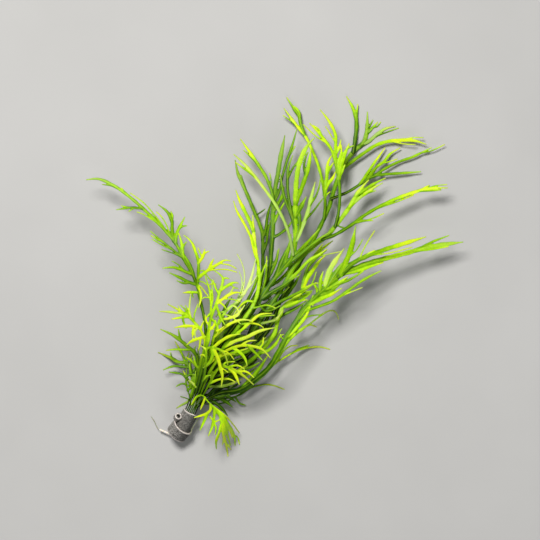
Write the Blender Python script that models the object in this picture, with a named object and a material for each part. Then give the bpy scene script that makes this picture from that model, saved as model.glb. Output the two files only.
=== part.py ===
"""Lace leaf water sprite: a bunch of finely divided fern fronds, bound at the base by a wound
strip of soft grey metal, lying on a surface and seen from above.

The frame is metres with +Z up. The origin is at the centre of the bunch's outline on the
surface it lies on. +Y runs up the bunch, from the metal strip towards the leaf tips.
The layout below is in millimetres, in the same frame, and is scaled once by MM.
"""

import math

import bmesh
import bpy
from mathutils import Vector
from mathutils.geometry import delaunay_2d_cdt

MM = 0.001

# The bundle of stalks inside the metal strip, and the opening that they leave it by
MOUTH = Vector((-50.6, -80.6, 12.81))
MOUTH_HEADING = math.radians(65.0)  # from +X, seen from above
MOUTH_RISE = math.radians(20.0)  # above the surface
STALK_PITCH = 1.05  # the stalks stand on a square lattice
STALK_SIDE = 0.72
CUT_END = -15.5  # along the axis from the opening, where the stalks are cut off
SPREAD = 34.0  # from the opening, where the fronds have reached their own levels
ARCH = 0.45  # how much higher the bunch arches, as a share, half way along
WAVES = 0.07

# The metal strip: a flat band wound from the neck outwards and down
STRIP_WIDTH = 7.6  # of the outer turn
NECK_WIDTH = 13.2  # of the inner turn, which the outer one is wound over
STRIP_THICKNESS = 0.8
STRIP_TURNS = 1.9
NECK_RADIUS = 4.15  # to the middle of the thickness
RADIUS_PER_TURN = 1.5
COLLAR_TOP = Vector((-55.65, -90.0, 9.582))  # centre of the upper edge of the outer turn
COLLAR_HEADING = math.radians(49.0)
COLLAR_RISE = math.radians(24.0)
CURL_CENTRE = Vector((-58.0, -83.9, 15.2))  # the rolled end, at the neck
CURL_RADIUS = 2.1
CURL_BORE = 1.15
CURL_LENGTH = 4.4

# Leaves
LEAF_THICKNESS = 0.7
STEM_WIDTH = 1.9
LEAF_WIDTH = 1.4
THREAD = 0.8
TIP_LENGTH = 12.0  # how far before its tip a segment begins to narrow
CURVE_STEP = 9.0
PINNA_LIFT = 1.15  # from the middle of a frond to the middle of a side branch that lies on it

GREEN = (0.20, 0.42, 0.03, 1.0)
LIME = (0.48, 0.68, 0.04, 1.0)
DEEP = (0.07, 0.20, 0.02, 1.0)
METAL = (0.23, 0.22, 0.20, 1.0)
PALE = (0.80, 0.78, 0.66, 1.0)


def spray(*points, width=LEAF_WIDTH, sprays=(), name=None, lift=0.0):
    """A stem or leaf segment. Its first point is where it leaves what it grows on.
    One with a name is a side branch of its own: it lies on its frond and rises by lift."""
    return {"points": points, "width": width, "sprays": sprays, "name": name, "lift": lift}


def thread(*points):
    """A hair-thin leaf tip, or one that is seen edge on."""
    return spray(*points, width=THREAD)


def frond(name, row, column, level, droop, colour, stem):
    """row and column place its stalk in the strip, from -3 to 3: row 3 is on top.
    level is its height above the surface, in mm, once it has spread.
    droop is (share of that height lost, distance along the frond where that starts, and ends)."""
    return {
        "name": name, "row": row, "column": column, "level": level,
        "droop": droop, "colour": colour, "stem": stem,
    }


FRONDS = [
    # Left side of the bunch
    frond("frond_long_left", 1, -1, 25.0, (0.35, 90, 210), GREEN, spray(
        (-47.6, -73), (-43.8, -62), (-42.6, -50), (-41.2, -38), (-42, -26), (-44.5, -14),
        (-46.5, -5), (-50, 3), (-54.5, 11), (-59, 19.5), (-66, 28), (-75, 37), (-85, 46),
        (-95, 53.5), (-105, 58.3), (-112.9, 58), width=STEM_WIDTH, sprays=[
            spray((-46, -9.5), (-50.5, -9.3), (-54.7, -9.7), width=1.7, sprays=[
                spray((-49.6, -9.4), (-48.7, -12.6), width=1.0)]),
            spray((-46.6, -5), (-51.4, -3.2), (-57, -0.4), (-62.7, 2.2), width=1.9, sprays=[
                spray((-50.5, -3.6), (-54.5, -3.9), (-58.3, -2.4), width=1.4)]),
            spray((-49.2, 1.2), (-54, 3.2), (-60, 5.4), (-66.7, 5), width=1.8, sprays=[
                thread((-52.5, 2.5), (-57.2, 6.8), (-61.2, 9.2))]),
            spray((-54, 10.2), (-59, 14.5), (-64, 18.5), (-69, 22.5), (-74.2, 27), sprays=[
                thread((-55.5, 11.5), (-61, 14), (-67.2, 16)),
                thread((-60, 15.2), (-66.5, 18.4), (-73.2, 22.2)),
                thread((-66, 20), (-70, 22), (-73.8, 24.4))]),
            thread((-65, 27), (-71.5, 32.6), (-78, 36.8), (-82.5, 38.6)),
            spray((-79, 40.5), (-86, 41.2), (-94.7, 40), width=1.5, sprays=[
                thread((-86, 41.2), (-92, 42.2)), thread((-84, 41), (-87.4, 39))]),
            thread((-94, 52.8), (-98.5, 54.4), (-103.3, 55.2)),
            spray((-46.3, -6), (-45.6, 2), (-45.5, 9), (-47.3, 15), (-49, 19.5), (-51.5, 22.6),
                  (-54, 24.4), width=1.9, name="pinna_left_fork", lift=4.0, sprays=[
                spray((-45.7, -1), (-43, 1.3), (-39.5, 4), (-34.5, 7), (-30, 9.6), (-26.5, 9.2),
                      width=2.0, sprays=[
                    spray((-39.5, 4), (-38, 7.5), (-36.4, 10.4), width=1.7),
                    thread((-41, 2.8), (-36, 4), (-29, 4.2), (-22.7, 2.6)),
                    thread((-33, 7.8), (-27, 6.8), (-23, 4.7))]),
                thread((-45.6, 2.4), (-42.6, 3.6), (-39.6, -0.6), (-35, -4.8)),
                thread((-46, -2.6), (-42.6, -3.4), (-40, -5), (-37.6, -4.2)),
                thread((-46, -4.6), (-43.6, -6.6), (-41, -10), (-38.8, -13)),
                spray((-46.2, -5.6), (-44.4, -9), (-44.1, -13), (-45.4, -18.4), width=1.6),
                spray((-45.5, 8), (-43.3, 11), (-42.3, 13.5), (-41.7, 16.2), width=1.9, sprays=[
                    spray((-43.4, 11), (-44.6, 14.5), (-45.8, 17), width=1.0),
                    spray((-42.6, 12.6), (-40.8, 14.4), (-39.2, 14.9), width=1.1)])]),
            spray((-54.2, 10.5), (-54.9, 15), (-55.6, 20), (-57.2, 25.6), width=1.9, sprays=[
                spray((-55, 15.5), (-54, 18.8), (-52.6, 20.6), width=1.3)]),
            spray((-59, 19.5), (-58.7, 25), (-56.5, 30), (-53.9, 35.3), width=2.0, sprays=[
                spray((-57.2, 28.6), (-54.6, 30), (-52.6, 30.2), width=1.2)]),
            spray((-60, 21), (-61.3, 28), (-61.5, 33), (-64.5, 38.8), (-69.6, 42.8), width=2.1,
                  sprays=[spray((-61.5, 32), (-61, 36), (-62.2, 38.8), width=1.1)]),
            thread((-61.8, 23.4), (-64.6, 30.5), (-67.6, 35.5), (-70.8, 38.6)),
            thread((-64, 26), (-67.5, 31.2), (-72, 36.8), (-78.5, 44), (-86.5, 49.9)),
            spray((-90, 50), (-91.9, 53), width=1.0),
            spray((-47.6, -2.4), (-49.2, 4), (-52.4, 10.4), (-56, 15.6), width=1.6),])),
    frond("frond_lace_left", 2, -1, 35.0, (0.2, 70, 120), LIME, spray(
        (-46.8, -72), (-44.8, -60), (-42, -48), (-39.6, -34), (-37.8, -24), (-34.6, -16),
        (-33, -10), (-31.3, -5), (-30.9, -1), (-33, 1.6), (-36, 3.6), width=1.9, sprays=[
            spray((-38.2, -25.6), (-37.9, -18), (-38.6, -9), (-40, -3.6), (-41.3, 0.8),
                  width=1.3, sprays=[thread((-38.3, -12), (-37.2, -7), (-37.3, -3))]),
            spray((-33.2, -10.6), (-35, -7), (-36.7, -1.8), width=1.3),
            spray((-30.9, -1.6), (-29.4, -0.8), (-27.2, -1.2), width=1.2),
            spray((-32.4, -8.2), (-28.5, -5.6), (-24.5, -3.6), (-21.8, -3.9), width=1.9, sprays=[
                thread((-26.4, -4.4), (-24, -6.6), (-22, -6.9))]),
            spray((-34.6, -16), (-30.6, -13), (-27, -10.6), (-23.4, -9.4), (-19.6, -9.7),
                  width=1.9, sprays=[spray((-28.6, -11.6), (-26, -9), (-24.6, -6.6), width=1.3),
                                     thread((-31, -13.3), (-25.5, -13.4), (-20.6, -14.7))]),
            spray((-38, -24.6), (-35.6, -26.8), (-34, -30), (-33.9, -34), width=1.6, sprays=[
                thread((-34.4, -29), (-32.6, -27.6), (-31.3, -24.8))]),
            thread((-40.3, -38), (-38.3, -31.6), (-36, -31.2)),
            spray((-34.9, -16.8), (-33.4, -20.6), (-32, -24.4), (-29.6, -28.4), width=1.9),
            spray((-34, -14.6), (-30.8, -16.6), (-28.6, -19.4), width=1.2),
            spray((-36.8, -21), (-39.2, -22.6), (-40.8, -25), width=1.2),
            spray((-34.5, -32), (-32.4, -31.2), (-30.2, -29.6), width=1.2),
            thread((-38.2, -13), (-41, -12.2), (-43.6, -13.4)),
            spray((-39, -31), (-36.6, -29.6), (-35, -26), width=1.6),
            spray((-43.4, -54), (-41.4, -51.2), (-39.2, -50.4), width=1.3),
            spray((-40.9, -42.6), (-39.2, -38), (-38.7, -33), width=1.5),
            spray((-38.7, -29.6), (-40.6, -26.4), (-41.3, -22.6), width=1.2),
            thread((-38, -20), (-36.8, -14), (-36.9, -8)),])),
    frond("frond_left_middle", 2, -2, 31.0, (0.25, 60, 110), LIME, spray(
        (-48, -72), (-46.3, -60), (-43.9, -50), (-41.6, -40), (-43.6, -32.6), (-48, -27),
        (-52, -23), (-57.5, -19.6), (-63.4, -16.4), width=1.8, sprays=[
            spray((-42, -35.8), (-46, -37), (-49.5, -38.4), (-52.4, -40.6), width=2.0, sprays=[
                spray((-44, -36.4), (-44.6, -40), (-45.4, -43.8), width=1.3)]),
            spray((-45.4, -30), (-49, -29.4), (-54, -29.4), (-59.5, -30.3), width=1.9, sprays=[
                spray((-48.2, -29.5), (-48.8, -32.6), (-49, -36.6), width=1.6)]),
            spray((-51, -24), (-54, -24), (-58, -24.6), (-61.3, -25.2), width=1.6),
            spray((-53, -22.2), (-58, -21.6), (-63, -20.9), (-68.3, -20.6), width=1.5),
            spray((-43.9, -32.2), (-43.5, -29.4), (-42.4, -26.4), width=1.2),
            spray((-48.2, -26.8), (-47.8, -22.4), (-45.7, -16.2), width=1.0),
            spray((-49.6, -25.4), (-50.8, -19), (-50, -10.4), width=1.2, sprays=[
                thread((-50.6, -21), (-53.2, -17.2))]),
            thread((-54.5, -21.4), (-57.5, -17.4)),
            spray((-49, -26), (-52.4, -20.6), (-56, -17), width=1.1),
            spray((-54, -21.6), (-54.6, -25.6), (-52.8, -30.8), width=1.5),
            spray((-47.2, -66.4), (-49.8, -63.4), (-51.8, -62.4), width=1.3),
            spray((-45.2, -55.6), (-47.4, -52.4), (-48.4, -47.6), width=1.4),
            spray((-45.2, -30.2), (-47.6, -32.6), (-47.2, -36.4), width=1.4),])),
    frond("frond_left_small", 0, -3, 15.0, (0.2, 50, 90), GREEN, spray(
        (-48.6, -73), (-49.3, -66), (-47.2, -56), (-46.8, -49), (-49.2, -44.8), (-53, -41.6),
        (-57, -38.2), (-62, -34.8), (-68.6, -31.7), width=2.2, sprays=[
            spray((-50, -44), (-54.5, -44), (-60, -43.8), (-65.3, -44.4), width=1.5),
            spray((-56, -39.2), (-57.3, -35.6), (-58, -31.8), width=1.2),
            spray((-47.2, -47), (-48.4, -43.6), (-47.7, -42), width=1.0),
            spray((-48.9, -64), (-50.8, -58), (-51.4, -52.4), width=1.7),
            spray((-47.6, -58), (-45, -53), (-44.4, -47.6), width=1.6),
            spray((-47.1, -54.6), (-50.4, -50.6), (-54, -48.4), width=1.6),
        ])),
    frond("frond_left_lower", -1, -2, 7.5, (1.0, 29, 39.5), GREEN, spray(
        (-49.4, -73), (-49.6, -64), (-50.8, -56.6), (-53, -52.6), (-58.5, -51.6), (-63, -49.2),
        (-70.7, -46.2), width=2.1, sprays=[
            spray((-51.4, -55), (-56, -54.4), (-61.5, -54.2), (-67.4, -56.4), width=1.5),
            spray((-60.5, -50.6), (-62.8, -48.4), (-63.2, -46.2), width=0.9),
            spray((-54, -52.2), (-56, -47.4), (-60.6, -39.6), width=1.4),
            spray((-51.9, -53.8), (-53, -50), (-52, -46.2), width=1.1),
            spray((-51, -56), (-50.9, -52), (-50.4, -47.6), width=1.3),
            spray((-50.2, -59), (-48.4, -56), (-46, -51.8), width=1.2),
            spray((-49.5, -67), (-52.4, -62.4), (-55.4, -57), width=1.6),
        ])),
    frond("frond_left_base", 1, -2, 18.5, (0.7, 18, 42), GREEN, spray(
        (-49.8, -75), (-52, -70), (-53.2, -65.6), (-53.4, -61.4), (-53.2, -55.7),
        width=1.6, sprays=[
            spray((-53.2, -65), (-56, -64.4), (-59.3, -66), width=1.2),
            spray((-53.4, -61), (-55.6, -58.8), (-59, -58), (-63.7, -57.4), width=1.4),
            spray((-53.3, -60.4), (-51, -58.9), (-47.6, -59.2), width=1.4),
            thread((-53, -66), (-51.2, -64.8), (-50.4, -62.2)),
            spray((-51, -72.6), (-49.4, -68), (-48, -62), (-47.8, -57), width=1.6),
            spray((-52.4, -68.6), (-49.6, -64.4), (-49.2, -58.6), width=1.6),
        ])),
    frond("frond_base_left", -2, -2, 3.5, (0.3, 12, 30), GREEN, spray(
        (-50.2, -76), (-53, -73.6), (-56.8, -72.4), width=1.5, sprays=[
            spray((-51.8, -74.7), (-54, -76.4), (-56.6, -77.7), (-59.3, -79.4), width=1.4)])),
    # Fronds that arch over the front of the bunch
    frond("frond_hanging", 3, 0, 42.0, (1.0, 13, 36), LIME, spray(
        (-47.8, -74.4), (-45.8, -71.6), (-43.2, -71.4), (-40, -75), (-36, -79.4), (-33, -83.6),
        (-31.8, -88.6), (-31, -94.4), (-29.6, -101), (-28.5, -109.1), width=1.8, sprays=[
            spray((-44.6, -71.2), (-47.6, -72.6), (-50.3, -77.2), width=1.2),
            spray((-42, -72.6), (-43, -75.6), (-44.8, -79.8), width=1.4),
            spray((-38.6, -76.8), (-38.9, -80.2), (-42, -82.7), (-48.4, -84.8), width=1.7,
                  sprays=[spray((-40.4, -81.8), (-42.2, -86), (-44.9, -92), width=1.8)]),
            spray((-36.2, -79.2), (-36.6, -84.8), (-37.6, -89.8), (-39.8, -95.3), width=1.9),
            spray((-32, -87.6), (-33.4, -93.6), (-35.2, -98.6), (-35.3, -103.8), width=1.8),
            spray((-34.4, -81.4), (-30, -87.4), (-28.6, -95), (-26.9, -102.2), width=1.7),
            spray((-36.4, -79), (-31.4, -83.4), (-27.2, -90.4), (-24.6, -96.6), (-24.2, -102.6),
                  width=1.9),
            thread((-38.6, -76.4), (-30.4, -82.4), (-25.4, -88.6), (-21.6, -94.8)),
            thread((-30, -99), (-26.7, -105)),
            spray((-38.9, -84.2), (-36.4, -86.8), (-33.2, -85.6), width=1.1),
            spray((-32.6, -85.6), (-30.2, -91), (-30.8, -97.2), (-31.6, -101.4), width=1.5),
            spray((-30.6, -84.4), (-27, -92.4), (-25.8, -97.4), width=1.6),
            spray((-37, -86), (-35.4, -90), (-35.8, -94.4), width=1.2),
            thread((-24.6, -95.6), (-22.4, -98), (-21.6, -101.6)),])),
    frond("frond_front_left", 2, 0, 37.0, (0.2, 50, 90), LIME, spray(
        (-46, -71), (-42.4, -60), (-40.9, -50), (-40.4, -43), (-36.6, -42.2), (-32, -43.6),
        (-29.4, -46.6), (-28, -52.2), width=1.6, sprays=[
            spray((-40.6, -45.4), (-41.6, -42.4), (-44.1, -41), width=1.1),
            spray((-40.8, -48), (-42.6, -46.4), (-44.4, -46.6), width=1.0),
            spray((-38, -42.2), (-37, -46.4), (-39, -51.2), (-42.6, -54.2), width=2.1),
            spray((-36.6, -42.2), (-34, -48), (-32.4, -54), (-31.3, -59), (-32, -65.4),
                  width=2.2, sprays=[thread((-32.6, -53.4), (-30, -55.2), (-28, -56.8))]),
            thread((-33.4, -43), (-27.6, -45.2), (-24.4, -49)),
            spray((-43.2, -62.4), (-41, -59.6), (-38.4, -58.8), width=1.4),])),
    frond("frond_front_right", 2, 1, 34.0, (0.3, 60, 110), LIME, spray(
        (-45, -71), (-40, -59), (-34.6, -50), (-29.4, -44.4), (-24, -41.8), (-19, -40.7),
        (-13, -41.2), (-7.6, -43), (-2.8, -48), width=1.8, sprays=[
            spray((-25, -42.2), (-20.6, -45), (-17.8, -48.6), (-16.6, -52.4), width=2.0),
            spray((-16.4, -40.8), (-12.4, -44.4), (-7.6, -49.4), width=1.7),
            spray((-20.6, -40.9), (-16, -38.2), (-11.6, -37.6), width=1.2),
            spray((-9.6, -42.2), (-7.4, -40), (-6.8, -36), width=1.1),
        ])),
    frond("frond_front_low", 2, 2, 31.0, (0.35, 45, 90), LIME, spray(
        (-44.4, -72), (-39.2, -64), (-35.6, -57), (-31.4, -53.6), (-26, -54.8), (-19.6, -58.4),
        (-12.8, -64.2), width=1.8, sprays=[
            spray((-35.8, -57.4), (-37.6, -57.2), (-38.6, -60.4), width=1.5),
            spray((-27.4, -54.4), (-23.8, -58.4), (-21.3, -64.2), width=2.0),
            spray((-22.8, -56.4), (-17, -56.6), (-12.6, -60), width=1.3),
            spray((-29, -54), (-22.6, -52.8), (-18.2, -55), width=1.3),
            spray((-31.6, -53.6), (-29, -51), (-24, -50.6), width=1.1),
            spray((-39.2, -64), (-33.4, -61.4), (-27.6, -61), (-24, -62.6), width=1.5),
        ])),
    # Middle of the bunch
    frond("frond_white_blade", 1, 0, 30.0, (0.04, 80, 130), LIME, spray(
        (-46.4, -71.5), (-42.4, -58), (-38.4, -44), (-35.6, -33), (-32.6, -25.4), (-27.4, -18.8),
        (-21.2, -13.8), (-16.6, -7), (-13.6, 1), (-11.5, 10.3), width=1.7, sprays=[
            thread((-20.8, -13.2), (-18.6, -6), (-18.2, 2), (-19.7, 8), (-22.4, 13.2)),
            thread((-23.6, -15.8), (-20.2, -8), (-19.6, -2.4), (-21.2, 2.8)),
            spray((-29.6, -21), (-32.6, -21.2), (-35, -23.8), width=1.1),
            thread((-17.4, -8.4), (-13.8, -4.4), (-10.8, 0.6)),
            spray((-25.6, -17), (-22.8, -18.4), (-21.4, -22.2), (-24, -24.4), width=1.2),
            thread((-30.6, -22.4), (-26.2, -23.6), (-20.4, -28)),
            spray((-41, -53.4), (-36, -49), (-30, -46.4), (-24, -46), width=1.8),
            spray((-38.4, -44), (-33, -39), (-27, -35.4), (-20.6, -34), width=2.0),
            spray((-36.4, -36), (-31, -31), (-26, -27.6), (-20, -25.6), (-14, -26), width=1.8),
            spray((-32.6, -25.4), (-27, -24.6), (-22, -22), (-18, -17), width=1.6),
        ])),
    frond("frond_yellow_tips", 1, 1, 27.5, (0.2, 100, 160), LIME, spray(
        (-45.8, -71.4), (-39, -57), (-30.4, -42), (-21, -28.6), (-12.6, -16), (-9.6, -5),
        (-9.8, 5), (-11.3, 14), (-12.3, 22), (-13, 30), (-13.2, 36.4), width=2.2, sprays=[
            spray((-11.7, 17.4), (-16, 27), (-20.2, 34.6), (-23, 39.6), (-24.7, 44.9),
                  width=1.7, sprays=[thread((-18.4, 31.6), (-22.2, 36.8))]),
            spray((-12.8, 27), (-15.4, 33.4), (-18.6, 40), (-21.4, 46), (-23.4, 51.5),
                  width=2.3),
            spray((-12.4, -15.6), (-15, -14.4), (-19, -15.8), (-24.4, -22.6), width=1.5),
            spray((-9.6, -5.6), (-8, 1), (-6.4, 5.6), (-4.6, 9.4), width=1.0),
            spray((-30.4, -42), (-24, -38.4), (-17, -36), (-9, -32.2), (-0.5, -30.4), width=2.2),
            spray((-21, -28.6), (-15.4, -27.6), (-10, -28.4), (-7, -30.2), width=1.3),
            spray((-26, -36), (-21.4, -33), (-14.6, -27), (-9, -22.6), (-2, -21.8), width=1.8),
            spray((-14.6, -19), (-10.6, -18.2), (-5, -17), (0.2, -18.6), width=1.2),
            spray((-36, -52), (-29.6, -47.4), (-23, -45), (-16, -42.6), width=2.0),
            spray((-9.8, 6), (-12, 13), (-13.6, 19), (-15, 24.6), width=1.3),
        ])),
    frond("frond_dark_arch", -1, -1, 11.5, (1.0, 100, 150), DEEP, spray(
        (-47, -72), (-42.6, -58), (-35.2, -42), (-25, -27.6), (-15.2, -16.4), (-9.2, -6),
        (-7.4, 4), (-7.3, 15), (-7.6, 25), (-9.4, 32), (-12.2, 38.6), (-16, 47.6), (-19.6, 56),
        (-22.6, 63), (-24.1, 70.4), width=2.2, sprays=[
            spray((-11.5, 37), (-8.6, 38.8), (-6, 40.8), width=1.0),
            thread((-15.8, 47), (-18.2, 54), (-20.4, 61.4)),
            spray((-7.5, 22), (-5.4, 30), (-4.4, 37), (-2.2, 45.4), width=1.9),
            spray((-7.3, 13), (-5.2, 20), (-4.2, 27), (-2.6, 34), width=1.5),
            spray((-14.4, -15.4), (-7.6, -11), (-3.4, -7.2), (-2.3, -4.2), width=1.6),
            spray((-25.6, -28.6), (-20, -29.2), (-14, -28.2), (-8, -30), width=1.7),
        ])),
    frond("frond_tall_left", 0, -1, 19.0, (0.25, 110, 190), GREEN, spray(
        (-46.4, -71.6), (-40.8, -57), (-32.4, -41), (-22, -26.6), (-12, -15), (-5.4, -4),
        (-3, 6), (-2.2, 16), (-1.4, 25), (-1.2, 35), (-1, 44), (0, 52), (1.8, 62), (3.6, 73),
        (5.9, 84.8), width=2.8, sprays=[
            spray((-1, 44), (-2, 51), (-5.4, 59.6), (-10, 67), (-15.4, 75), (-20.7, 82.4),
                  width=2.0, name="pinna_tall_left", lift=2.0, sprays=[
                thread((-8.4, 64.6), (-13.4, 70.4), (-18.7, 75.8)),
                thread((-2.6, 53.4), (-2.4, 58), (-3.2, 62))]),
            spray((-1, 43), (2.4, 51), (4.4, 60), (7, 69), (10.4, 79), (13.1, 88.4),
                  width=1.6, sprays=[thread((8, 71.4), (10.4, 75.4), (12.2, 78.4))]),
            spray((-1.6, 23), (3, 25.6), (7.6, 29.4), (11, 34.6), width=1.8),
            spray((-3, 5), (0.4, 9.6), (1.6, 15.6), width=1.4),
            spray((-12.6, -15.6), (-9.6, -17), (-5, -16), (-2, -12.6), width=1.5),
            spray((-22.6, -27.4), (-17.6, -26), (-11.6, -22.4), width=1.8),
            spray((-32.4, -41), (-31.4, -33), (-27.6, -25.6), (-23.4, -19), width=2.0),
            spray((-22, -26.6), (-19.4, -19), (-15, -11.6), (-11.4, -3), (-10.4, 6), width=1.8),
            spray((-12, -15), (-7.4, -11.4), (-1.6, -9.6), (4, -9.8), (8.4, -6.4), width=2.0),
            spray((-6.8, -6.4), (-1.6, -5), (3.4, -1.6), (8, 3.4), (12, 9.6), width=2.0),
            spray((-1.2, 30), (1.6, 37), (4.6, 42.6), (6.8, 45.8), width=1.6),
            spray((-40.8, -57), (-34.6, -52), (-29, -50.4), (-22.6, -52), width=1.8),
            spray((-1.1, 38), (1.8, 43.6), (4.4, 48.4), (5.6, 54), width=2.2),
            spray((-5.4, -4), (-1.4, 4), (1, 10), (2.4, 16.6), width=1.8),
            spray((-11.4, -14), (-6.6, -13.6), (-1.4, -10.6), width=1.9),])),
    frond("frond_centre", 0, 0, 23.5, (0.2, 110, 190), GREEN, spray(
        (-45.6, -72), (-38, -57), (-29, -42.6), (-18.6, -28), (-9.6, -14.6), (-2, -3.4),
        (5, 5), (10.4, 12), (12, 22), (12, 34), (12.2, 46), (12.8, 57), (14.4, 67),
        (17.2, 74.6), (20.6, 80), (23.5, 83), width=3.0, sprays=[
            spray((10.7, 13), (8.8, 23.6), (5.2, 33.6), (0, 43.4), (-6, 52), (-12.4, 60.4),
                  (-18.4, 67.4), (-24.7, 73.2), width=1.9, name="pinna_centre_left", lift=1.0,
                  sprays=[
                spray((-11.4, 59), (-17, 63.4), (-23.6, 68.4), width=1.2)]),
            spray((11.6, 30), (9.4, 41), (7.8, 50), (7.5, 59), (8.2, 66), (10.6, 72.6),
                  width=1.8, sprays=[spray((7.5, 58), (10.4, 64.4), (14.1, 69.6), width=1.3)]),
            spray((12.2, 43), (15.6, 52), (19, 62), (20.8, 70), (21.6, 77), width=2.7, sprays=[
                spray((18.4, 59.4), (17.4, 66), (18.4, 71), (19.9, 74.6), width=1.5)]),
            spray((12, 35), (14.6, 40), (18.6, 47.6), width=2.8),
            spray((12, 20), (16, 29), (19.4, 38), (21.4, 46), (24.1, 56.6), width=2.4, sprays=[
                spray((17.8, 33.4), (22.4, 38.4), (28.7, 46.8), width=1.2),
                spray((20.4, 41.6), (24.4, 48), (26.5, 54), (27.1, 58.4), width=1.2)]),
            spray((-10, -15.2), (-6.4, -20), (-1.4, -19.6), (3, -17.4), width=1.5),
            spray((-9.6, -14.6), (-3, -9.6), (4, -5.8), (10, -1.6), (14.6, 0.6), width=2.0),
            spray((-4, -6.4), (0.6, 1), (3.4, 8), (6.2, 14), (9, 20.4), width=2.6),
            spray((3, 2.6), (8, 9), (14, 15), (20, 21), (26.4, 28.4), width=2.0),
            spray((6, 6.4), (13, 11.4), (20, 17.4), (26.6, 22.6), (33, 26.8), width=1.8),
            spray((-18.6, -28), (-12.4, -24.4), (-6, -23.4), (-0.5, -23), width=1.6),
            spray((-38, -57), (-31.6, -54.4), (-25, -50.4), (-19, -48.4), width=2.2),
            spray((-33, -49), (-26.4, -43.4), (-19, -39.4), (-11, -38), width=2.2),
            spray((-14, -21), (-9.4, -12), (-6.4, -4), (-5.2, 4), (-5, 12), width=1.7),
            spray((12, 27), (9.8, 36), (6.6, 44.4), (4.6, 52), (3.2, 61.4), width=1.9),
            spray((12, 22), (14.6, 29), (14.6, 37), (12.3, 44), width=2.0),
            spray((5, 5), (7, 12), (8.4, 18), (9.6, 25), width=2.0),])),
    # Right side of the bunch
    frond("frond_crown_right", -1, 0, 13.5, (1.0, 130, 205), DEEP, spray(
        (-44.6, -73), (-35, -63), (-23, -53), (-11.6, -42), (-2.4, -29), (2.6, -16), (7.6, -7),
        (12, 2), (16.4, 11), (21.4, 19.4), (26, 27.6), (29.6, 35), (32.6, 42), (35, 50),
        (38.2, 60), (42, 68), (46, 73.8), (49.4, 77.4), (53.4, 81), (55.4, 86), (56, 92),
        (56.1, 99.7), width=2.6, sprays=[
            spray((29.4, 34.6), (30.2, 45), (28.8, 56), (26.4, 66), (23, 75), (18.6, 84.4),
                  (13, 91.4), (9.4, 96.4), (5.5, 101.6), width=1.9, name="pinna_crown_left", lift=1.5,
                  sprays=[
                spray((29.9, 49), (30.8, 55), (31.4, 62), (31.8, 67.6), (33.4, 71.6), (35.4, 74.4),
                      width=2.3, sprays=[spray((31.3, 61), (33.2, 65.4), (35.4, 68.8), width=1.7)]),
                spray((30.4, 52.4), (32.6, 56.4), (35, 59.6), (36.6, 63.4), width=2.0),
                thread((30.2, 46.6), (31.4, 49.4), (33.2, 51)),
                thread((14.4, 89.8), (9.6, 94), (5, 97.4)),
                spray((18, 85.4), (15.4, 92.6), (14.6, 97), (11.6, 101.4), (7.2, 108.3),
                      width=2.0, sprays=[spray((14.9, 95), (15, 99), (12.8, 102), (11, 103.2),
                                               width=1.4)])]),
            spray((34, 46.8), (44, 51), (52, 56), (58.6, 60.2), (66, 61.7), (78, 62.6),
                  (88.2, 63.4), width=1.8, name="pinna_crown_low", lift=2.0, sprays=[
                spray((51, 55.4), (56.6, 63.6), (61.4, 70.6), (66.6, 77.8), width=1.7),
                spray((55.4, 58.2), (61, 65.6), (66, 69.6), (70, 74.4), (75.7, 77.8), width=1.9,
                      sprays=[thread((64.4, 68.4), (69, 69.4), (74.2, 71.2))]),
                spray((60, 60.8), (67, 65.4), (75, 69.4), (83, 72.2), (90, 75.6), (94.7, 77.9),
                      width=1.7, sprays=[thread((88, 74.6), (95, 76.2), (102.6, 79.8))])]),
            spray((40.6, 65), (47, 69.8), (54, 74.8), (60.4, 79), (67, 81.4), (75, 82.4),
                  (84, 82.2), (91.4, 80), width=2.2, name="pinna_crown_arch", lift=3.5, sprays=[
                thread((76, 82.4), (83, 84), (89.6, 84)),
                thread((70, 81.8), (78, 80.2), (84.8, 79.8))]),
            spray((47.4, 75.4), (48.6, 83), (49.4, 91), (48.8, 97.6), (46.6, 103.4), (43.4, 108.95),
                  width=2.5, name="pinna_crown_top", lift=1.0, sprays=[
                spray((49.2, 94), (49.6, 99.6), (50.2, 104.2), width=1.3)]),
            spray((51.4, 79.2), (57, 82.2), (62, 86.2), (67, 89.6), (72.8, 91), width=2.2,
                  sprays=[thread((60, 84.6), (67.4, 87.4), (74.7, 90))]),
            spray((55.4, 86), (58.6, 89.6), (62.3, 93.6), width=1.6, sprays=[
                thread((59.4, 90.4), (62, 91), (64.1, 93.6))]),
            spray((55.8, 89.2), (57.8, 91.8), (59.4, 94.8), width=1.1),
            spray((-2.4, -29), (4, -23.6), (12, -19.4), (19.4, -14.6), width=2.0),
            spray((2.6, -16), (8, -13), (15, -10.4), (22, -8.6), width=1.5),
            spray((7.6, -7), (7.4, 0), (9.6, 8), (10.4, 16), width=2.2),
            spray((-11.6, -42), (-6, -40), (0, -36.4), (4, -31.4), width=2.4),
            spray((-23, -53), (-16, -50.4), (-9, -46.6), (-4, -41.4), width=2.2),
            spray((-29, -57.8), (-22, -60), (-16, -58.6), (-11, -54.8), width=1.8),
            spray((2.6, -16), (7.6, -10.4), (12.4, -3.6), (15.4, 2.4), width=2.2),
            spray((12, 2), (14, 8), (18.6, 13.4), (23.4, 16.2), width=2.2),])),
    frond("frond_upper_right", 0, 1, 20.0, (0.25, 120, 200), LIME, spray(
        (-44.4, -72.4), (-35.6, -60), (-24.6, -47), (-14, -34), (-4.6, -20), (3.6, -8),
        (10.4, 4), (17, 13), (24.6, 19.4), (31.4, 24.6), (36.4, 30.6), (41.4, 37), (45.6, 43),
        (49, 49), (53, 54.4), (56.4, 58), width=2.7, sprays=[
            spray((36, 30), (38, 38), (38.9, 48), (38.4, 57), (36.9, 66), (36.4, 76), (36.3, 85),
                  (32.6, 93), (27.2, 100), width=2.0, name="pinna_upper_left", lift=1.5, sprays=[
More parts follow.
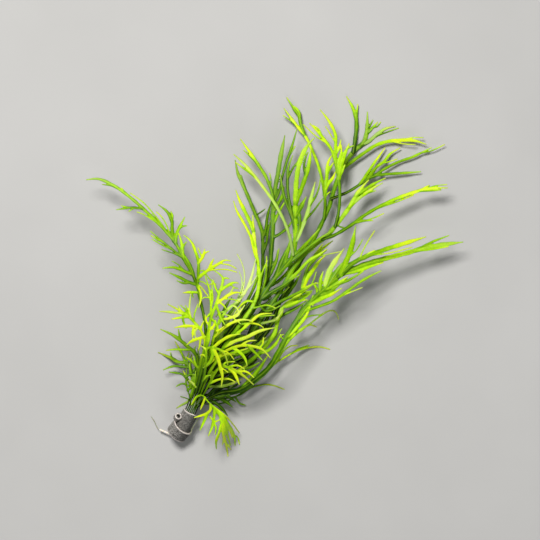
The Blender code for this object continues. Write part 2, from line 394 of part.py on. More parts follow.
                spray((37, 65.4), (34.4, 75), (30.6, 81), (26, 86.6), (20.8, 92), width=1.9,
                      sprays=[thread((31.4, 79.8), (25, 84), (17, 91.2)),
                              thread((28.4, 84), (26.6, 88.2), (23, 90.8))]),
                thread((36.4, 80), (33, 85.8), (30.4, 90)),
                spray((38.2, 59), (39.4, 66), (40.8, 71.6), (42.8, 75.8), (44.6, 79.8), width=3.2,
                      sprays=[spray((42.6, 76), (44.8, 77.6), (47, 78.6), width=1.1)]),
                spray((38.3, 58), (40.4, 62.6), (42, 67), width=1.2),
                spray((36.5, 73), (38.4, 77), (39.6, 82), width=1.4),
                spray((38.3, 61), (38.2, 68), (39.8, 74), (39.8, 79), width=2.0)]),
            spray((48.4, 48), (54, 52.4), (60, 56), (66.4, 59.1), width=1.8),
            spray((44, 40.8), (49.4, 46), (55, 50.3), (60, 53.7), (64.7, 56.2), width=2.0,
                  sprays=[spray((53, 49), (56.6, 50.6), (60.5, 51.6), width=1.3)]),
            spray((28.4, 22.2), (36, 25), (45, 30.4), (53, 36.2), (62, 41.6), (72, 46.4),
                  (81, 49.8), (90, 52.4), (97, 53.2), (103.6, 53.2), width=2.1,
                  name="pinna_upper_low", lift=1.5, sprays=[
                spray((47, 31.8), (53, 33.4), (58.6, 33.5), width=1.5, sprays=[
                    thread((53.6, 33.4), (59.4, 35.2), (65.2, 37.8))]),
                thread((60, 40.4), (72, 44.4), (83.2, 48.8)),
                spray((86, 51.4), (92, 51.4), (99.7, 52), width=1.0),
                thread((90, 52.4), (96, 54.4), (103.2, 55.2)),
                thread((87, 51.6), (90, 53.6), (92.8, 54.8))]),
            spray((3.6, -8), (8.4, -2.4), (14, 3), (20, 9.4), (26, 13), (31, 16.4), width=2.0),
            spray((-4.6, -20), (2, -15.6), (10, -11.6), (18, -7.6), (24.6, -3.6), width=1.8),
            spray((-10, -28.2), (-4, -27), (1, -25), (4.6, -20), width=1.6),
            spray((-35.6, -60), (-29, -57), (-22.4, -56.4), (-16.4, -53), width=2.0),
            spray((-24.6, -47), (-17.6, -45), (-11, -41), (-5.6, -36.4), width=2.2),
            spray((-40, -66), (-33, -66), (-26.4, -64.4), (-19.6, -61.4), width=1.8),
            spray((-30, -53.4), (-27.4, -46), (-25.8, -39), (-24, -31.6), width=2.0),
            spray((36.8, 31), (39.6, 29.6), (43, 29), width=1.0),
        ])),
    frond("frond_light_leaf", 0, 2, 16.5, (0.3, 80, 130), LIME, spray(
        (-43.6, -73.4), (-33.6, -65), (-21.4, -56), (-9.6, -46), (-0.8, -35), (1.6, -26.6),
        (4.6, -18.6), (10.6, -14), (16.4, -9), (22, -5), (26.4, -3.9), width=2.4, sprays=[
            spray((16, -9.4), (17.6, -1), (20.4, 6.4), (25, 11.2), (31.2, 15.9), width=2.1,
                  sprays=[
                spray((19.2, 3.8), (23, 11.6), (28.6, 19.4), width=1.2),
                spray((23, 9.4), (28, 16.2), (34.7, 21.4), width=1.7),
                thread((26.4, 12.2), (33, 13.6), (39.6, 15))]),
            thread((21.6, -5.2), (23.6, -1.4), (24.8, 2.6)),
            spray((10, -14.4), (15.4, -12.4), (22.4, -8.4), width=1.2),
            spray((0.9, -27), (3.6, -23.4), (4.8, -20.6), width=1.2),
            spray((23.4, -4.6), (25.2, -8), (24.8, -13), (22.6, -17.6), width=1.7),
            spray((4.6, -18.6), (9.4, -16.6), (14.4, -14.8), (19.4, -14), width=1.6),
            spray((-9.6, -46), (-4.4, -44.4), (0.6, -40), (3.4, -34.6), width=2.0),
            spray((-21.4, -56), (-15, -54.6), (-9.4, -51.6), width=1.8),
            spray((16.6, -6.4), (19.8, -0.6), (23.4, 4.8), (27, 9.6), (30.2, 12.4), width=2.5),
            spray((4.6, -18.6), (10, -17.4), (17, -13.4), (22, -9.6), width=1.5),])),
    frond("frond_long_right", 1, 2, 25.5, (0.3, 120, 220), LIME, spray(
        (-43.4, -74.4), (-33.6, -70), (-21.4, -67.4), (-11.4, -61), (-3.2, -53.4), (2, -44.6),
        (6.4, -36.6), (11.6, -28), (17, -19.6), (23.6, -12.6), (31.6, -5.4), (40, 1.4),
        (50, 6), (60, 9.2), (70, 11.8), (80, 14.4), (90, 17.2), (100, 19), (112.85, 20.7),
        width=2.9, sprays=[
            spray((38, 0), (46, 7.6), (54, 11.8), (64, 15.6), (76, 19.4), (90.2, 23.7), width=2.7,
                  name="pinna_long_right", lift=4.0, sprays=[
                          spray((52, 11), (56, 14), (59.2, 15.6), width=1.0),
                          thread((56, 12.6), (68, 14), (81.8, 17.5)),
                          spray((39, 1), (41.6, 7.4), (44.4, 14), (46.4, 21), (48, 29.7), width=3.3,
                                sprays=[thread((45.4, 12.6), (48.6, 16), (52.2, 22))]),
                          thread((50, 10), (54, 18.6), (59.4, 27.3))]),
            spray((30, -6.6), (31.2, 0), (34.4, 7), (41.2, 16.6), width=3.2),
            spray((26.6, -9.8), (27, -5), (27.4, -1), (28.6, 2.8), width=2.3),
            spray((84, 15.4), (94, 20.6), (104.4, 24.6), width=1.5),
            thread((83, 15.2), (92, 15.8), (104, 17.9)),
            spray((28.4, -8.4), (36, -4.8), (43.4, -0.2), width=2.2, sprays=[
                spray((34.6, -5.6), (43, -2.6), (52.6, 3), width=1.6)]),
            spray((19.4, -17), (28, -13), (34, -10.4), (39.8, -7), width=2.4),
            spray((16, -21.2), (26, -17.8), (34, -14.8), (41, -10.2), (50, -3.8), (56, -0.2),
                  (63.3, 3.4), width=1.8, sprays=[thread((38, -12.4), (45, -9.4), (52, -6.6))]),
            spray((5.6, -38), (3.4, -35.4), (5, -34.4), width=1.0),
            spray((6.4, -36.6), (12.4, -31), (18.6, -23), (21.4, -15.6), width=2.0),
            spray((-21.4, -67.4), (-15, -61.4), (-9, -54), (-4, -46.4), width=2.0),
            spray((31.6, -5.4), (40, 4), (50, 10.4), (59, 15.4), width=2.2),
            spray((40, 1.4), (49, 3.2), (57, 6), (64.6, 8.3), width=2.0),
            spray((25, -11.4), (32, -9.4), (37.4, -5.6), (41, -2.6), width=1.7),
            spray((31.6, -5.4), (35, 0.4), (38.6, 5.4), (42.4, 10.2), width=3.0),
            spray((11.6, -28), (16.4, -22), (20.6, -16.4), (22.6, -11.4), width=1.8),
            thread((33, -4.2), (34.6, 2), (39.6, 5.8)),])),
    frond("frond_hooked", -1, 1, 9.5, (0.75, 80, 130), GREEN, spray(
        (-43.2, -75), (-32.6, -71.6), (-20.6, -69), (-9.6, -61.6), (-1, -52.6), (4.4, -43.6),
        (9.6, -37), (15, -32.6), (20.6, -29.2), (24.9, -30.4), width=2.0, sprays=[
            spray((19.6, -29.6), (26, -24.8), (31, -21.4), (35, -20.6), (37.4, -22.6),
                  (38.4, -25.8), width=1.1),
            spray((12.6, -34.4), (15.4, -27.6), (20.6, -24), (28, -23), width=1.1),
            spray((9, -37.6), (11.6, -30.4), (13.4, -25), (17, -16.6), width=1.6),
            spray((-20.6, -69), (-14, -62), (-9, -55.6), (-5, -49), width=2.2),
        ])),
    frond("frond_thin_low", -1, 2, 6.5, (1.0, 60, 90), GREEN, spray(
        (-42.8, -76.4), (-32, -74), (-21, -71.4), (-10.4, -62.8), (-1.6, -54), (5, -49.4),
        (12, -45.6), (20, -43.2), (27.6, -42.8), (33.2, -44.2), width=1.1, sprays=[
            spray((0.6, -52.2), (5, -45.4), (9, -42.3), (13.5, -41.8), width=1.0),
            thread((10, -46.6), (14, -43.8), (20.6, -41.6)),
        ])),
    frond("frond_lowest", -2, 2, 3.0, (1.0, 20, 50), GREEN, spray(
        (-42.6, -77.8), (-32, -76.6), (-22, -71.8), (-14.6, -67.6), (-6, -65.6), (0, -66.4),
        (5.6, -68.5), width=1.0, sprays=[
            spray((-24, -73), (-21.6, -76.6), (-18, -78), width=1.2)])),
    # Short inner fronds that fill the heart of the bunch
    frond("frond_inner_right", 0, 3, 14.0, (0.2, 50, 90), DEEP, spray(
        (-43, -76.2), (-36, -72.4), (-30, -69.4), (-25.2, -65.4), width=1.8, sprays=[
            spray((-36.6, -72.6), (-32, -72.2), (-27.2, -71), width=1.6),
            spray((-38.4, -73.6), (-36.6, -69), (-33, -65.6), (-28, -63), width=1.7),
            spray((-30.4, -69.6), (-25.6, -69.4), (-22.6, -67.2), width=1.3),
            spray((-39.4, -74.2), (-35, -76.6), (-31.4, -80), (-28.6, -83.6), width=2.0),
            spray((-36, -72.4), (-30, -74.8), (-25.6, -78.6), width=2.4),
            spray((-33, -71), (-28, -72.4), (-23.6, -75.4), width=1.8)])),
    frond("frond_inner_middle", 0, -2, 12.7, (0.0, 60, 100), DEEP, spray(
        (-48.4, -71.8), (-45, -61.6), (-41, -48), (-35.6, -38), (-30.4, -30), (-27.4, -22),
        width=2.4, sprays=[
            spray((-42.4, -51), (-38, -46), (-31, -42.6), (-25.6, -42), width=2.2),
            spray((-36.4, -39.4), (-30, -37), (-22, -36), (-14, -35.4), width=2.4),
            spray((-44.8, -57.6), (-40, -55), (-33, -54), (-26, -50), width=2.2),
            spray((-31.4, -31.4), (-25.4, -29), (-21.4, -23.4), width=2.0),
            spray((-43.4, -53.6), (-45.6, -50), (-46.4, -43.6), width=1.6),
            spray((-39.8, -45.8), (-41.2, -38), (-40.2, -31), width=1.8),
            spray((-30.4, -30), (-31.4, -24), (-29.6, -18), (-26, -12.6), width=2.2),
            spray((-27.8, -23), (-22.6, -16.6), (-18, -8.6), width=2.2),
            spray((-35.6, -38), (-30, -33.4), (-23, -31.4), (-16, -31.6), width=2.2),])),
    frond("frond_inner_low", -2, 0, 6.0, (0.5, 40, 80), DEEP, spray(
        (-45.2, -73), (-37.6, -65), (-28, -57), (-18.6, -48), (-11, -38), (-5.6, -28),
        width=2.5, sprays=[
            spray((-38.6, -66), (-32, -64.4), (-26, -62), (-20, -57), width=2.2),
            spray((-29, -57.8), (-22, -56.6), (-16, -55), (-10.6, -50), width=2.0),
            spray((-31.6, -60), (-31.6, -53), (-29, -46), (-25.6, -38), width=2.2),
            spray((-19.4, -48.8), (-18.6, -41), (-15, -33), width=2.0),
            spray((-13, -40.8), (-7, -39.4), (-2, -35.4), (0, -30.6), width=2.0),
            spray((-11, -38), (-5.4, -32), (-0.8, -26), (2.6, -20), width=2.2),
            spray((-15.6, -34.4), (-12, -27), (-7, -20), (-3.4, -13.6), width=2.4),
            spray((-7.2, -31), (-4, -24), (0, -17), (2, -10), width=2.2),
            spray((-12, -39.4), (-10.6, -31), (-11.4, -23), width=2.0),])),
    frond("frond_inner_left", -2, -1, 5.0, (0.5, 30, 60), DEEP, spray(
        (-47.8, -73), (-45.4, -65), (-43.6, -57), (-42.8, -49), (-44, -41), width=2.2, sprays=[
            spray((-46, -67), (-49, -63), (-50.6, -57), width=1.6),
            spray((-45, -63.4), (-40.6, -59), (-37.6, -52), (-36.4, -45), width=2.0),
            spray((-43.6, -57.4), (-46.6, -53.6), (-47.6, -48), width=1.4),])),
    frond("frond_inner_base", -2, 1, 4.0, (0.5, 20, 50), DEEP, spray(
        (-44, -74.4), (-37, -70), (-30, -66), (-23, -61), (-17.4, -54.6), width=2.0, sprays=[
            spray((-38.6, -71), (-33.6, -71), (-29.6, -72.6), width=1.6),
            spray((-31, -66.6), (-26, -67), (-20.6, -64), width=1.5),
            spray((-35, -68.8), (-33.6, -63), (-30.6, -58.6), width=1.6),
            spray((-37, -70), (-33, -70), (-27.4, -69.6), width=1.6),
            spray((-17.8, -55.4), (-12.6, -50.6), (-9, -45), width=2.0),])),
    frond("frond_lying", -3, 0, 1.6, (0.4, 20, 60), DEEP, spray(
        (-46.4, -72.6), (-41, -62), (-34.4, -51), (-27, -40.6), (-18.4, -31), width=2.0,
        sprays=[
            spray((-42, -64), (-36, -61.4), (-30.4, -56.6), width=1.8),
            spray((-35.2, -52.4), (-29, -49.6), (-22, -44.4), width=1.8),
            spray((-38.6, -57.8), (-39.4, -50), (-37.4, -41.6), width=1.7),
            spray((-28.4, -42.6), (-29.2, -35), (-27, -28), width=1.6)])),
]

# Loose parts at the strip: a blanched cut stalk end, and two root hairs as thin as a thread
CUT_STALK = ((-59.6, -97.2, 5.2), (-63.0, -95.6, 4.6), (-66.5, -94.1, 4.0), (-70.0, -92.7, 3.4))
CUT_STALK_RADIUS = 0.6
ROOT_HAIRS = {
    "root_hair_left": ((-70.7, -92.5, 3.3), (-72.2, -89.8, 2.5), (-73.4, -87.4, 1.2),
                       (-75.2, -84.9, 0.3)),
    "root_hair_right": ((-51.2, -95.4, 11.7), (-50.1, -92.4, 12.2), (-48.6, -89.4, 13.2),
                        (-46.9, -86.9, 14.9), (-45.4, -84.8, 16.8)),
}
ROOT_HAIR_SIDE = 0.4


def smooth(value, low, high):
    share = min(max((value - low) / (high - low), 0.0), 1.0)
    return share * share * (3.0 - 2.0 * share)


def heading_vector(heading, rise=0.0):
    flat = math.cos(rise)
    return Vector((math.cos(heading) * flat, math.sin(heading) * flat, math.sin(rise)))


AHEAD = heading_vector(MOUTH_HEADING)  # the way the stalks leave, in plan
ASIDE = Vector((AHEAD.y, -AHEAD.x, 0.0))  # to the right of it


def from_mouth(plant, point):
    """Way from the mouth to a point of the plan, how far ahead of the mouth the point is, and
    whether it is on the stalk, inside the strip."""
    offset = Vector((point[0] - MOUTH.x, point[1] - MOUTH.y, 0.0))
    ahead = offset.dot(AHEAD)
    beside = offset.dot(ASIDE) - plant["column"] * STALK_PITCH
    return offset, ahead, ahead < 0.0 and abs(beside) < STALK_SIDE


def arching(offset):
    """How much higher the bunch stands at a way from the mouth than its levels say."""
    away = offset.length
    turn = math.atan2(offset.y, offset.x)
    arch = ARCH * smooth(away, 12.0, 70.0) * (1.0 - smooth(away, 80.0, 165.0))
    waves = WAVES * smooth(away, 25.0, 60.0) * math.sin(away / 13.0 + 4.0 * turn)
    return 1.0 + arch + waves


def frond_height(plant, point):
    """Height of a frond's middle surface above a point of the plan."""
    offset, along, in_strip = from_mouth(plant, point)
    row_height = MOUTH.z + plant["row"] * STALK_PITCH / math.cos(MOUTH_RISE)
    if in_strip:
        return row_height + along * math.tan(MOUTH_RISE)
    away = offset.length
    spread = smooth(away, 3.0, SPREAD)
    leaving = row_height + math.tan(MOUTH_RISE) * min(max(along, 0.0), 9.0)
    lost, start, end = plant["droop"]
    level = plant["level"] * (1.0 - lost * smooth(away, start, end))
    height = max(leaving + (level - leaving) * spread - LEAF_THICKNESS / 2.0, 0.0)
    return LEAF_THICKNESS / 2.0 + height * arching(offset)


def branch_height(plant, branch, point):
    """Height of a side branch that starts on top of its frond and rises away from it."""
    height = frond_height(plant, point)
    for root, lift in branch:
        height += PINNA_LIFT + lift * smooth(math.dist(root, point), 0.0, 26.0)
    return height


def smooth_line(points):
    """A smooth line through the points, as its own points not far apart."""
    count = len(points)
    line = [points[0]]
    for i in range(count - 1):
        before = points[max(i - 1, 0)]
        start = points[i]
        end = points[i + 1]
        after = points[min(i + 2, count - 1)]
        pieces = max(1, round(math.dist(start, end) / CURVE_STEP))
        for j in range(1, pieces + 1):
            t = j / pieces
            line.append(tuple(
                0.5 * (2 * b + (c - a) * t + (2 * a - 5 * b + 4 * c - d) * t * t
                       + (3 * b - a - 3 * c + d) * t * t * t)
                for a, b, c, d in zip(before, start, end, after)
            ))
    return line


def ribbon(line, width, plant):
    """The two sides of a leaf segment in plan. It narrows to its tip, and a stem that comes
    from the strip is as narrow as its stalk there."""
    lengths = [0.0]
    for a, b in zip(line, line[1:]):
        lengths.append(lengths[-1] + math.dist(a, b))
    left = []
    right = []
    for i, point in enumerate(line):
        a = Vector(line[max(i - 1, 0)])
        b = Vector(line[min(i + 1, len(line) - 1)])
        along = (b - a).normalized()
        across = Vector((-along.y, along.x))
        to_tip = lengths[-1] - lengths[i]
        half = width / 2.0 * (0.35 + 0.65 * smooth(to_tip, 0.0, min(TIP_LENGTH, 0.4 * lengths[-1])))
        if plant:
            offset, _, in_strip = from_mouth(plant, point)
            away = 0.0 if in_strip else offset.length
            half = STALK_SIDE / 2.0 + (half - STALK_SIDE / 2.0) * smooth(away, 7.0, 26.0)
        left.append(Vector(point) + across * half)
        right.append(Vector(point) - across * half)
    return left, right


def gather(segment, plant, ribbons, named):
    """The ribbons of a segment and of all that grows on it, but for the named branches."""
    ribbons.append(ribbon(smooth_line(segment["points"]), segment["width"], plant))
    for child in segment["sprays"]:
        if child["name"]:
            named.append(child)
        else:
            gather(child, None, ribbons, named)


def inside(point, corners):
    """Whether a point of the plan is inside a polygon."""
    result = False
    for a, b in zip(corners, corners[1:] + corners[:1]):
        if (a.y > point.y) != (b.y > point.y):
            if point.x < a.x + (b.x - a.x) * (point.y - a.y) / (b.y - a.y):
                result = not result
    return result


def merged_plan(ribbons):
    """The ribbons as one flat outline, split into triangles."""
    points = []
    edges = []
    pieces = []
    for left, right in ribbons:
        outline = left + right[::-1]
        first = len(points)
        points.extend(outline)
        count = len(outline)
        edges.extend((first + i, first + (i + 1) % count) for i in range(count))
        for i in range(len(left) - 1):
            pieces.append([left[i], left[i + 1], right[i + 1], right[i]])
    corners, faces = covered_triangles(points, edges, pieces)
    borders = set()
    for face in faces:
        for a, b in zip(face, face[1:] + face[:1]):
            borders ^= {(min(a, b), max(a, b))}
    used = sorted({i for edge in borders for i in edge})
    place = {old: new for new, old in enumerate(used)}
    points = [corners[i] for i in used]
    edges = [(place[a], place[b]) for a, b in sorted(borders)]
    return covered_triangles(points, edges, pieces)


def covered_triangles(points, edges, pieces):
    """Triangles between the edges, where one of the pieces covers them."""
    corners, _, faces, _, _, _ = delaunay_2d_cdt(points, edges, [], 0, 0.02)
    kept = []
    for face in faces:
        middle = sum((corners[i] for i in face), Vector((0.0, 0.0))) / len(face)
        if any(inside(middle, piece) for piece in pieces):
            kept.append(face)
    return corners, kept


def leaf_mesh(name, ribbons, height):
    """A leaf of even thickness over the merged plan, bent to its height at every corner."""
    corners, faces = merged_plan(ribbons)
    mesh = bmesh.new()
    top = {}
    bottom = {}
    for index in sorted({i for face in faces for i in face}):
        x, y = corners[index]
        z = height((x, y))
        top[index] = mesh.verts.new((x * MM, y * MM, (z + LEAF_THICKNESS / 2.0) * MM))
        bottom[index] = mesh.verts.new((x * MM, y * MM, (z - LEAF_THICKNESS / 2.0) * MM))
    sides = {}
    for face in faces:
        mesh.faces.new([top[i] for i in face])
        mesh.faces.new([bottom[i] for i in reversed(face)])
        for a, b in zip(face, face[1:] + face[:1]):
            sides[(a, b)] = True
    for a, b in sides:
        if (b, a) not in sides:
            mesh.faces.new((top[b], top[a], bottom[a], bottom[b]))
    return finish_mesh(name, mesh)


def finish_mesh(name, mesh):
    bmesh.ops.recalc_face_normals(mesh, faces=mesh.faces)
    data = bpy.data.meshes.new(name)
    mesh.to_mesh(data)
    mesh.free()
    return data


def material(name, colour, roughness, metallic=0.0):
    surface = bpy.data.materials.new(name)
    surface.use_nodes = True
    shader = surface.node_tree.nodes["Principled BSDF"]
    shader.inputs["Base Color"].default_value = colour
    shader.inputs["Roughness"].default_value = roughness
    shader.inputs["Metallic"].default_value = metallic
    return surface


def add_object(name, data, surface):
    item = bpy.data.objects.new(name, data)
    item.data.materials.append(surface)
    bpy.context.scene.collection.objects.link(item)
    return item


def add_branch(plant, branch, segment, surfaces):
    """A named side branch, and the named branches that grow on it."""
    branch = branch + [(segment["points"][0], segment["lift"])]
    ribbons = []
    named = []
    gather(segment, None, ribbons, named)
    data = leaf_mesh(segment["name"], ribbons, lambda p: branch_height(plant, branch, p))
    add_object(segment["name"], data, surfaces[plant["colour"]])
    for child in named:
        add_branch(plant, branch, child, surfaces)


def add_frond(plant, surfaces):
    """A frond, with its stalk from the cut end through the strip, and its side branches."""
    column = ASIDE * plant["column"] * STALK_PITCH
    cut = MOUTH + column + AHEAD * CUT_END * math.cos(MOUTH_RISE)
    leaving = [
        (MOUTH + column + AHEAD * 0.0).xy[:],
        (MOUTH + column * 1.15 + AHEAD * 5.0).xy[:],
    ]
    if abs(plant["column"]) < 2:
        leaving.append((MOUTH + column * 1.35 + AHEAD * 9.5).xy[:])
    far = [p for p in plant["stem"]["points"] if math.dist(p, MOUTH.xy) > 14.0]
    near = [p for p in plant["stem"]["points"] if math.dist(p, MOUTH.xy) <= 14.0]
    stem = dict(plant["stem"])
    stem["points"] = [cut.xy[:]] + leaving + (near[1:] if plant["row"] == 3 or not far else []) + far
    ribbons = []
    named = []
    gather(stem, plant, ribbons, named)
    data = leaf_mesh(plant["name"], ribbons, lambda p: frond_height(plant, p))
    add_object(plant["name"], data, surfaces[plant["colour"]])
    for child in named:
        add_branch(plant, [], child, surfaces)


def strip_frame(turn):
    """Centre, axis and radius of the strip's upper edge at a turn, counted from the neck, and
    the strip's width there."""
    share = smooth(turn, 0.3, 1.15)
    collar = heading_vector(COLLAR_HEADING, COLLAR_RISE)
    neck = heading_vector(MOUTH_HEADING, MOUTH_RISE)
    axis = neck.lerp(collar, share).normalized()
    centre = MOUTH.lerp(COLLAR_TOP, share)
    width = NECK_WIDTH + (STRIP_WIDTH - NECK_WIDTH) * share
    return centre, axis, NECK_RADIUS + RADIUS_PER_TURN * turn, width


def add_strip(surface):
    """The wound strip, with its free end rolled up, as one solid."""
    mesh = bmesh.new()
    rings = []
    steps = round(STRIP_TURNS * 18)
    for i in range(steps + 1):
        turn = STRIP_TURNS * i / steps
        centre, axis, radius, width = strip_frame(turn)
        side = axis.cross(Vector((0.0, 0.0, 1.0))).normalized()
        up = side.cross(axis)
        angle = math.pi - 2.0 * math.pi * turn
        outward = side * math.cos(angle) + up * math.sin(angle)
        inner = centre + outward * (radius - STRIP_THICKNESS / 2.0)
        outer = centre + outward * (radius + STRIP_THICKNESS / 2.0)
        down = axis * -width
        rings.append([mesh.verts.new(p * MM) for p in (inner, outer, outer + down, inner + down)])
    for a, b in zip(rings, rings[1:]):
        for i in range(4):
            j = (i + 1) % 4
            mesh.faces.new((a[i], a[j], b[j], b[i]))
    mesh.faces.new(rings[0])
    mesh.faces.new(reversed(rings[-1]))
    strip = add_object("weight_strip", finish_mesh("weight_strip", mesh), surface)
    curl = add_object("curl_shape", curl_mesh(), surface)
    curl.hide_render = True
    curl.display_type = "WIRE"
    joined = strip.modifiers.new("rolled end", "BOOLEAN")
    joined.operation = "UNION"
    joined.object = curl


def curl_mesh():
    """The rolled free end: a short tube between the neck and the outer turn."""
    mesh = bmesh.new()
    axis = heading_vector(COLLAR_HEADING, math.radians(62.0))
    side = axis.cross(Vector((0.0, 0.0, 1.0))).normalized()
    up = side.cross(axis)
    rings = []
    sections = ((CURL_RADIUS, 0.0), (CURL_RADIUS, -CURL_LENGTH), (CURL_BORE, -CURL_LENGTH),
                (CURL_BORE, 0.0))
    for radius, along in sections:
        rings.append([])
        for i in range(14):
            angle = 2.0 * math.pi * i / 14
            outward = side * math.cos(angle) + up * math.sin(angle)
            rings[-1].append(mesh.verts.new((CURL_CENTRE + outward * radius + axis * along) * MM))
    for a, b in zip(rings, rings[1:] + rings[:1]):
        for i in range(14):
            j = (i + 1) % 14
            mesh.faces.new((a[i], a[j], b[j], b[i]))
    return finish_mesh("curl_shape", mesh)


def square_rod(name, points, side, surface):
    """A rod with a square section along a line that lies nearly flat."""
    mesh = bmesh.new()
    rings = []
    for i, point in enumerate(points):
        a = Vector(points[max(i - 1, 0)])
        b = Vector(points[min(i + 1, len(points) - 1)])
        along = (b - a).normalized()
        across = Vector((-along.y, along.x, 0.0)).normalized()
        up = along.cross(across)
        half = side / 2.0
        corners = ((-1, -1), (1, -1), (1, 1), (-1, 1))
        rings.append([
            mesh.verts.new((Vector(point) + across * (u * half) + up * (v * half)) * MM)
            for u, v in corners
        ])
    for a, b in zip(rings, rings[1:]):
        for i in range(4):
            j = (i + 1) % 4
            mesh.faces.new((a[i], a[j], b[j], b[i]))
    mesh.faces.new(reversed(rings[0]))
    mesh.faces.new(rings[-1])
    add_object(name, finish_mesh(name, mesh), surface)


def main():
    for item in list(bpy.data.objects):
        bpy.data.objects.remove(item, do_unlink=True)
    surfaces = {
        GREEN: material("green leaf", GREEN, 0.45),
        LIME: material("young leaf", LIME, 0.45),
        DEEP: material("shaded leaf", DEEP, 0.5),
    }
    for plant in FRONDS:
        add_frond(plant, surfaces)
    add_strip(material("soft metal", METAL, 0.55, 0.85))
    pale = material("blanched stalk", PALE, 0.5)
    square_rod("cut_stalk", CUT_STALK, CUT_STALK_RADIUS * 2.0, pale)
    hair = material("root hair", (0.30, 0.30, 0.16, 1.0), 0.6)
    for name, points in ROOT_HAIRS.items():
        square_rod(name, points, ROOT_HAIR_SIDE, hair)


main()
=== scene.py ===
"""Lace leaf water sprite: the looks of the bunch, lying on a pale surface and seen from above."""

import math

import bmesh
import bpy
import numpy as np
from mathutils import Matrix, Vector


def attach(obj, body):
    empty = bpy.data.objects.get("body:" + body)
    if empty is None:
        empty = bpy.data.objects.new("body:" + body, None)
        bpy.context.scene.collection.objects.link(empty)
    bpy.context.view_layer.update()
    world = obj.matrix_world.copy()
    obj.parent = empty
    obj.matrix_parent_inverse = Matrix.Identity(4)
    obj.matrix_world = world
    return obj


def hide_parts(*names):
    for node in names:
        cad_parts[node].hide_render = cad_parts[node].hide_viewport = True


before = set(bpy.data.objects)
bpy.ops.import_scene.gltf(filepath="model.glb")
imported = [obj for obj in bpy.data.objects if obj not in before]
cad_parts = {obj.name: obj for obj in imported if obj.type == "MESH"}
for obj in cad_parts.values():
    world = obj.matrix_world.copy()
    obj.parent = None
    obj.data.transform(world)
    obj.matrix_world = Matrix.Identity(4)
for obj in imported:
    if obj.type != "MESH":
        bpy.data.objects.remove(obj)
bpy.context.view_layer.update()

MM = 0.001
SEED = 41

# The bundle of stalks inside the metal strip, and the opening that they leave it by
MOUTH = Vector((-50.6, -80.6, 12.81))
MOUTH_HEADING = math.radians(65.0)  # from +X, seen from above
MOUTH_RISE = math.radians(20.0)  # above the surface
STALK_PITCH = 1.05  # the stalks stand on a square lattice
STALK_SIDE = 0.72
CUT_END = -15.5  # along the axis from the opening, where the stalks are cut off
MOUTH_REACH = 14.0  # from the opening, how far a stalk keeps its place in the lattice
SPREAD = 34.0  # from the opening, where the fronds have reached their own levels
ARCH = 0.45  # how much higher the bunch arches, as a share, half way along
WAVES = 0.07

# The metal strip: a flat band wound from the neck outwards and down
STRIP_WIDTH = 7.6  # of the outer turn
NECK_WIDTH = 13.2  # of the inner turn, which the outer one is wound over
STRIP_THICKNESS = 0.8
STRIP_ROUNDING = 0.22  # of the corners of its section
STRIP_TURNS = 1.9
STEPS_PER_TURN = 96
NECK_RADIUS = 4.15  # to the middle of the thickness
RADIUS_PER_TURN = 1.5
COLLAR_TOP = Vector((-55.65, -90.0, 9.582))  # centre of the upper edge of the outer turn
COLLAR_HEADING = math.radians(49.0)
COLLAR_RISE = math.radians(24.0)
CURL_CENTRE = Vector((-58.0, -83.9, 15.2))  # the rolled end, at the neck
CURL_RISE = math.radians(62.0)
CURL_RADIUS = 2.1
CURL_BORE = 1.15
CURL_LENGTH = 4.4
CURL_STEPS = 40

# Leaves
LEAF_THICKNESS = 0.7
THREAD = 0.8  # width of a hair-thin segment, or of one that is seen edge on
TIP_LENGTH = 12.0  # how far before its tip a segment begins to narrow
PINNA_LIFT = 1.15  # from the middle of a frond to the middle of a side branch that lies on it
LINE_STEP = 0.9  # along a segment
TAPER = 0.34  # half the width of a leaf tip
BLADE = 0.30  # half the thickness of a leaf segment
STALK_BLADE = 0.46  # half the thickness of a stem
BRANCH_STEM = 0.6  # how much of a stem's looks a side branch has
WEB = 0.45  # how softly segments run into each other at a fork
CELL = 0.30  # spacing of the leaf surface's points
MARGIN = 3.0  # of the grid of points round a leaf
STRAND_REACH = 2.6  # round a segment, in which its distance is worked out
EDGE_REACH = 1.5  # beyond the edge of a segment's part, the same
NOWHERE = 9.0  # distance that stands for no segment near
PULL = 0.22  # distance over which one segment's values give way to the next one's
LEAST_SLOPE = 0.35  # of that distance, where points are moved onto the outline
RIDGE = 0.05  # of the midrib over the leaf
RIDGE_REACH = 0.22  # to either side
LOWEST = 0.02  # height of the lowest point of a leaf

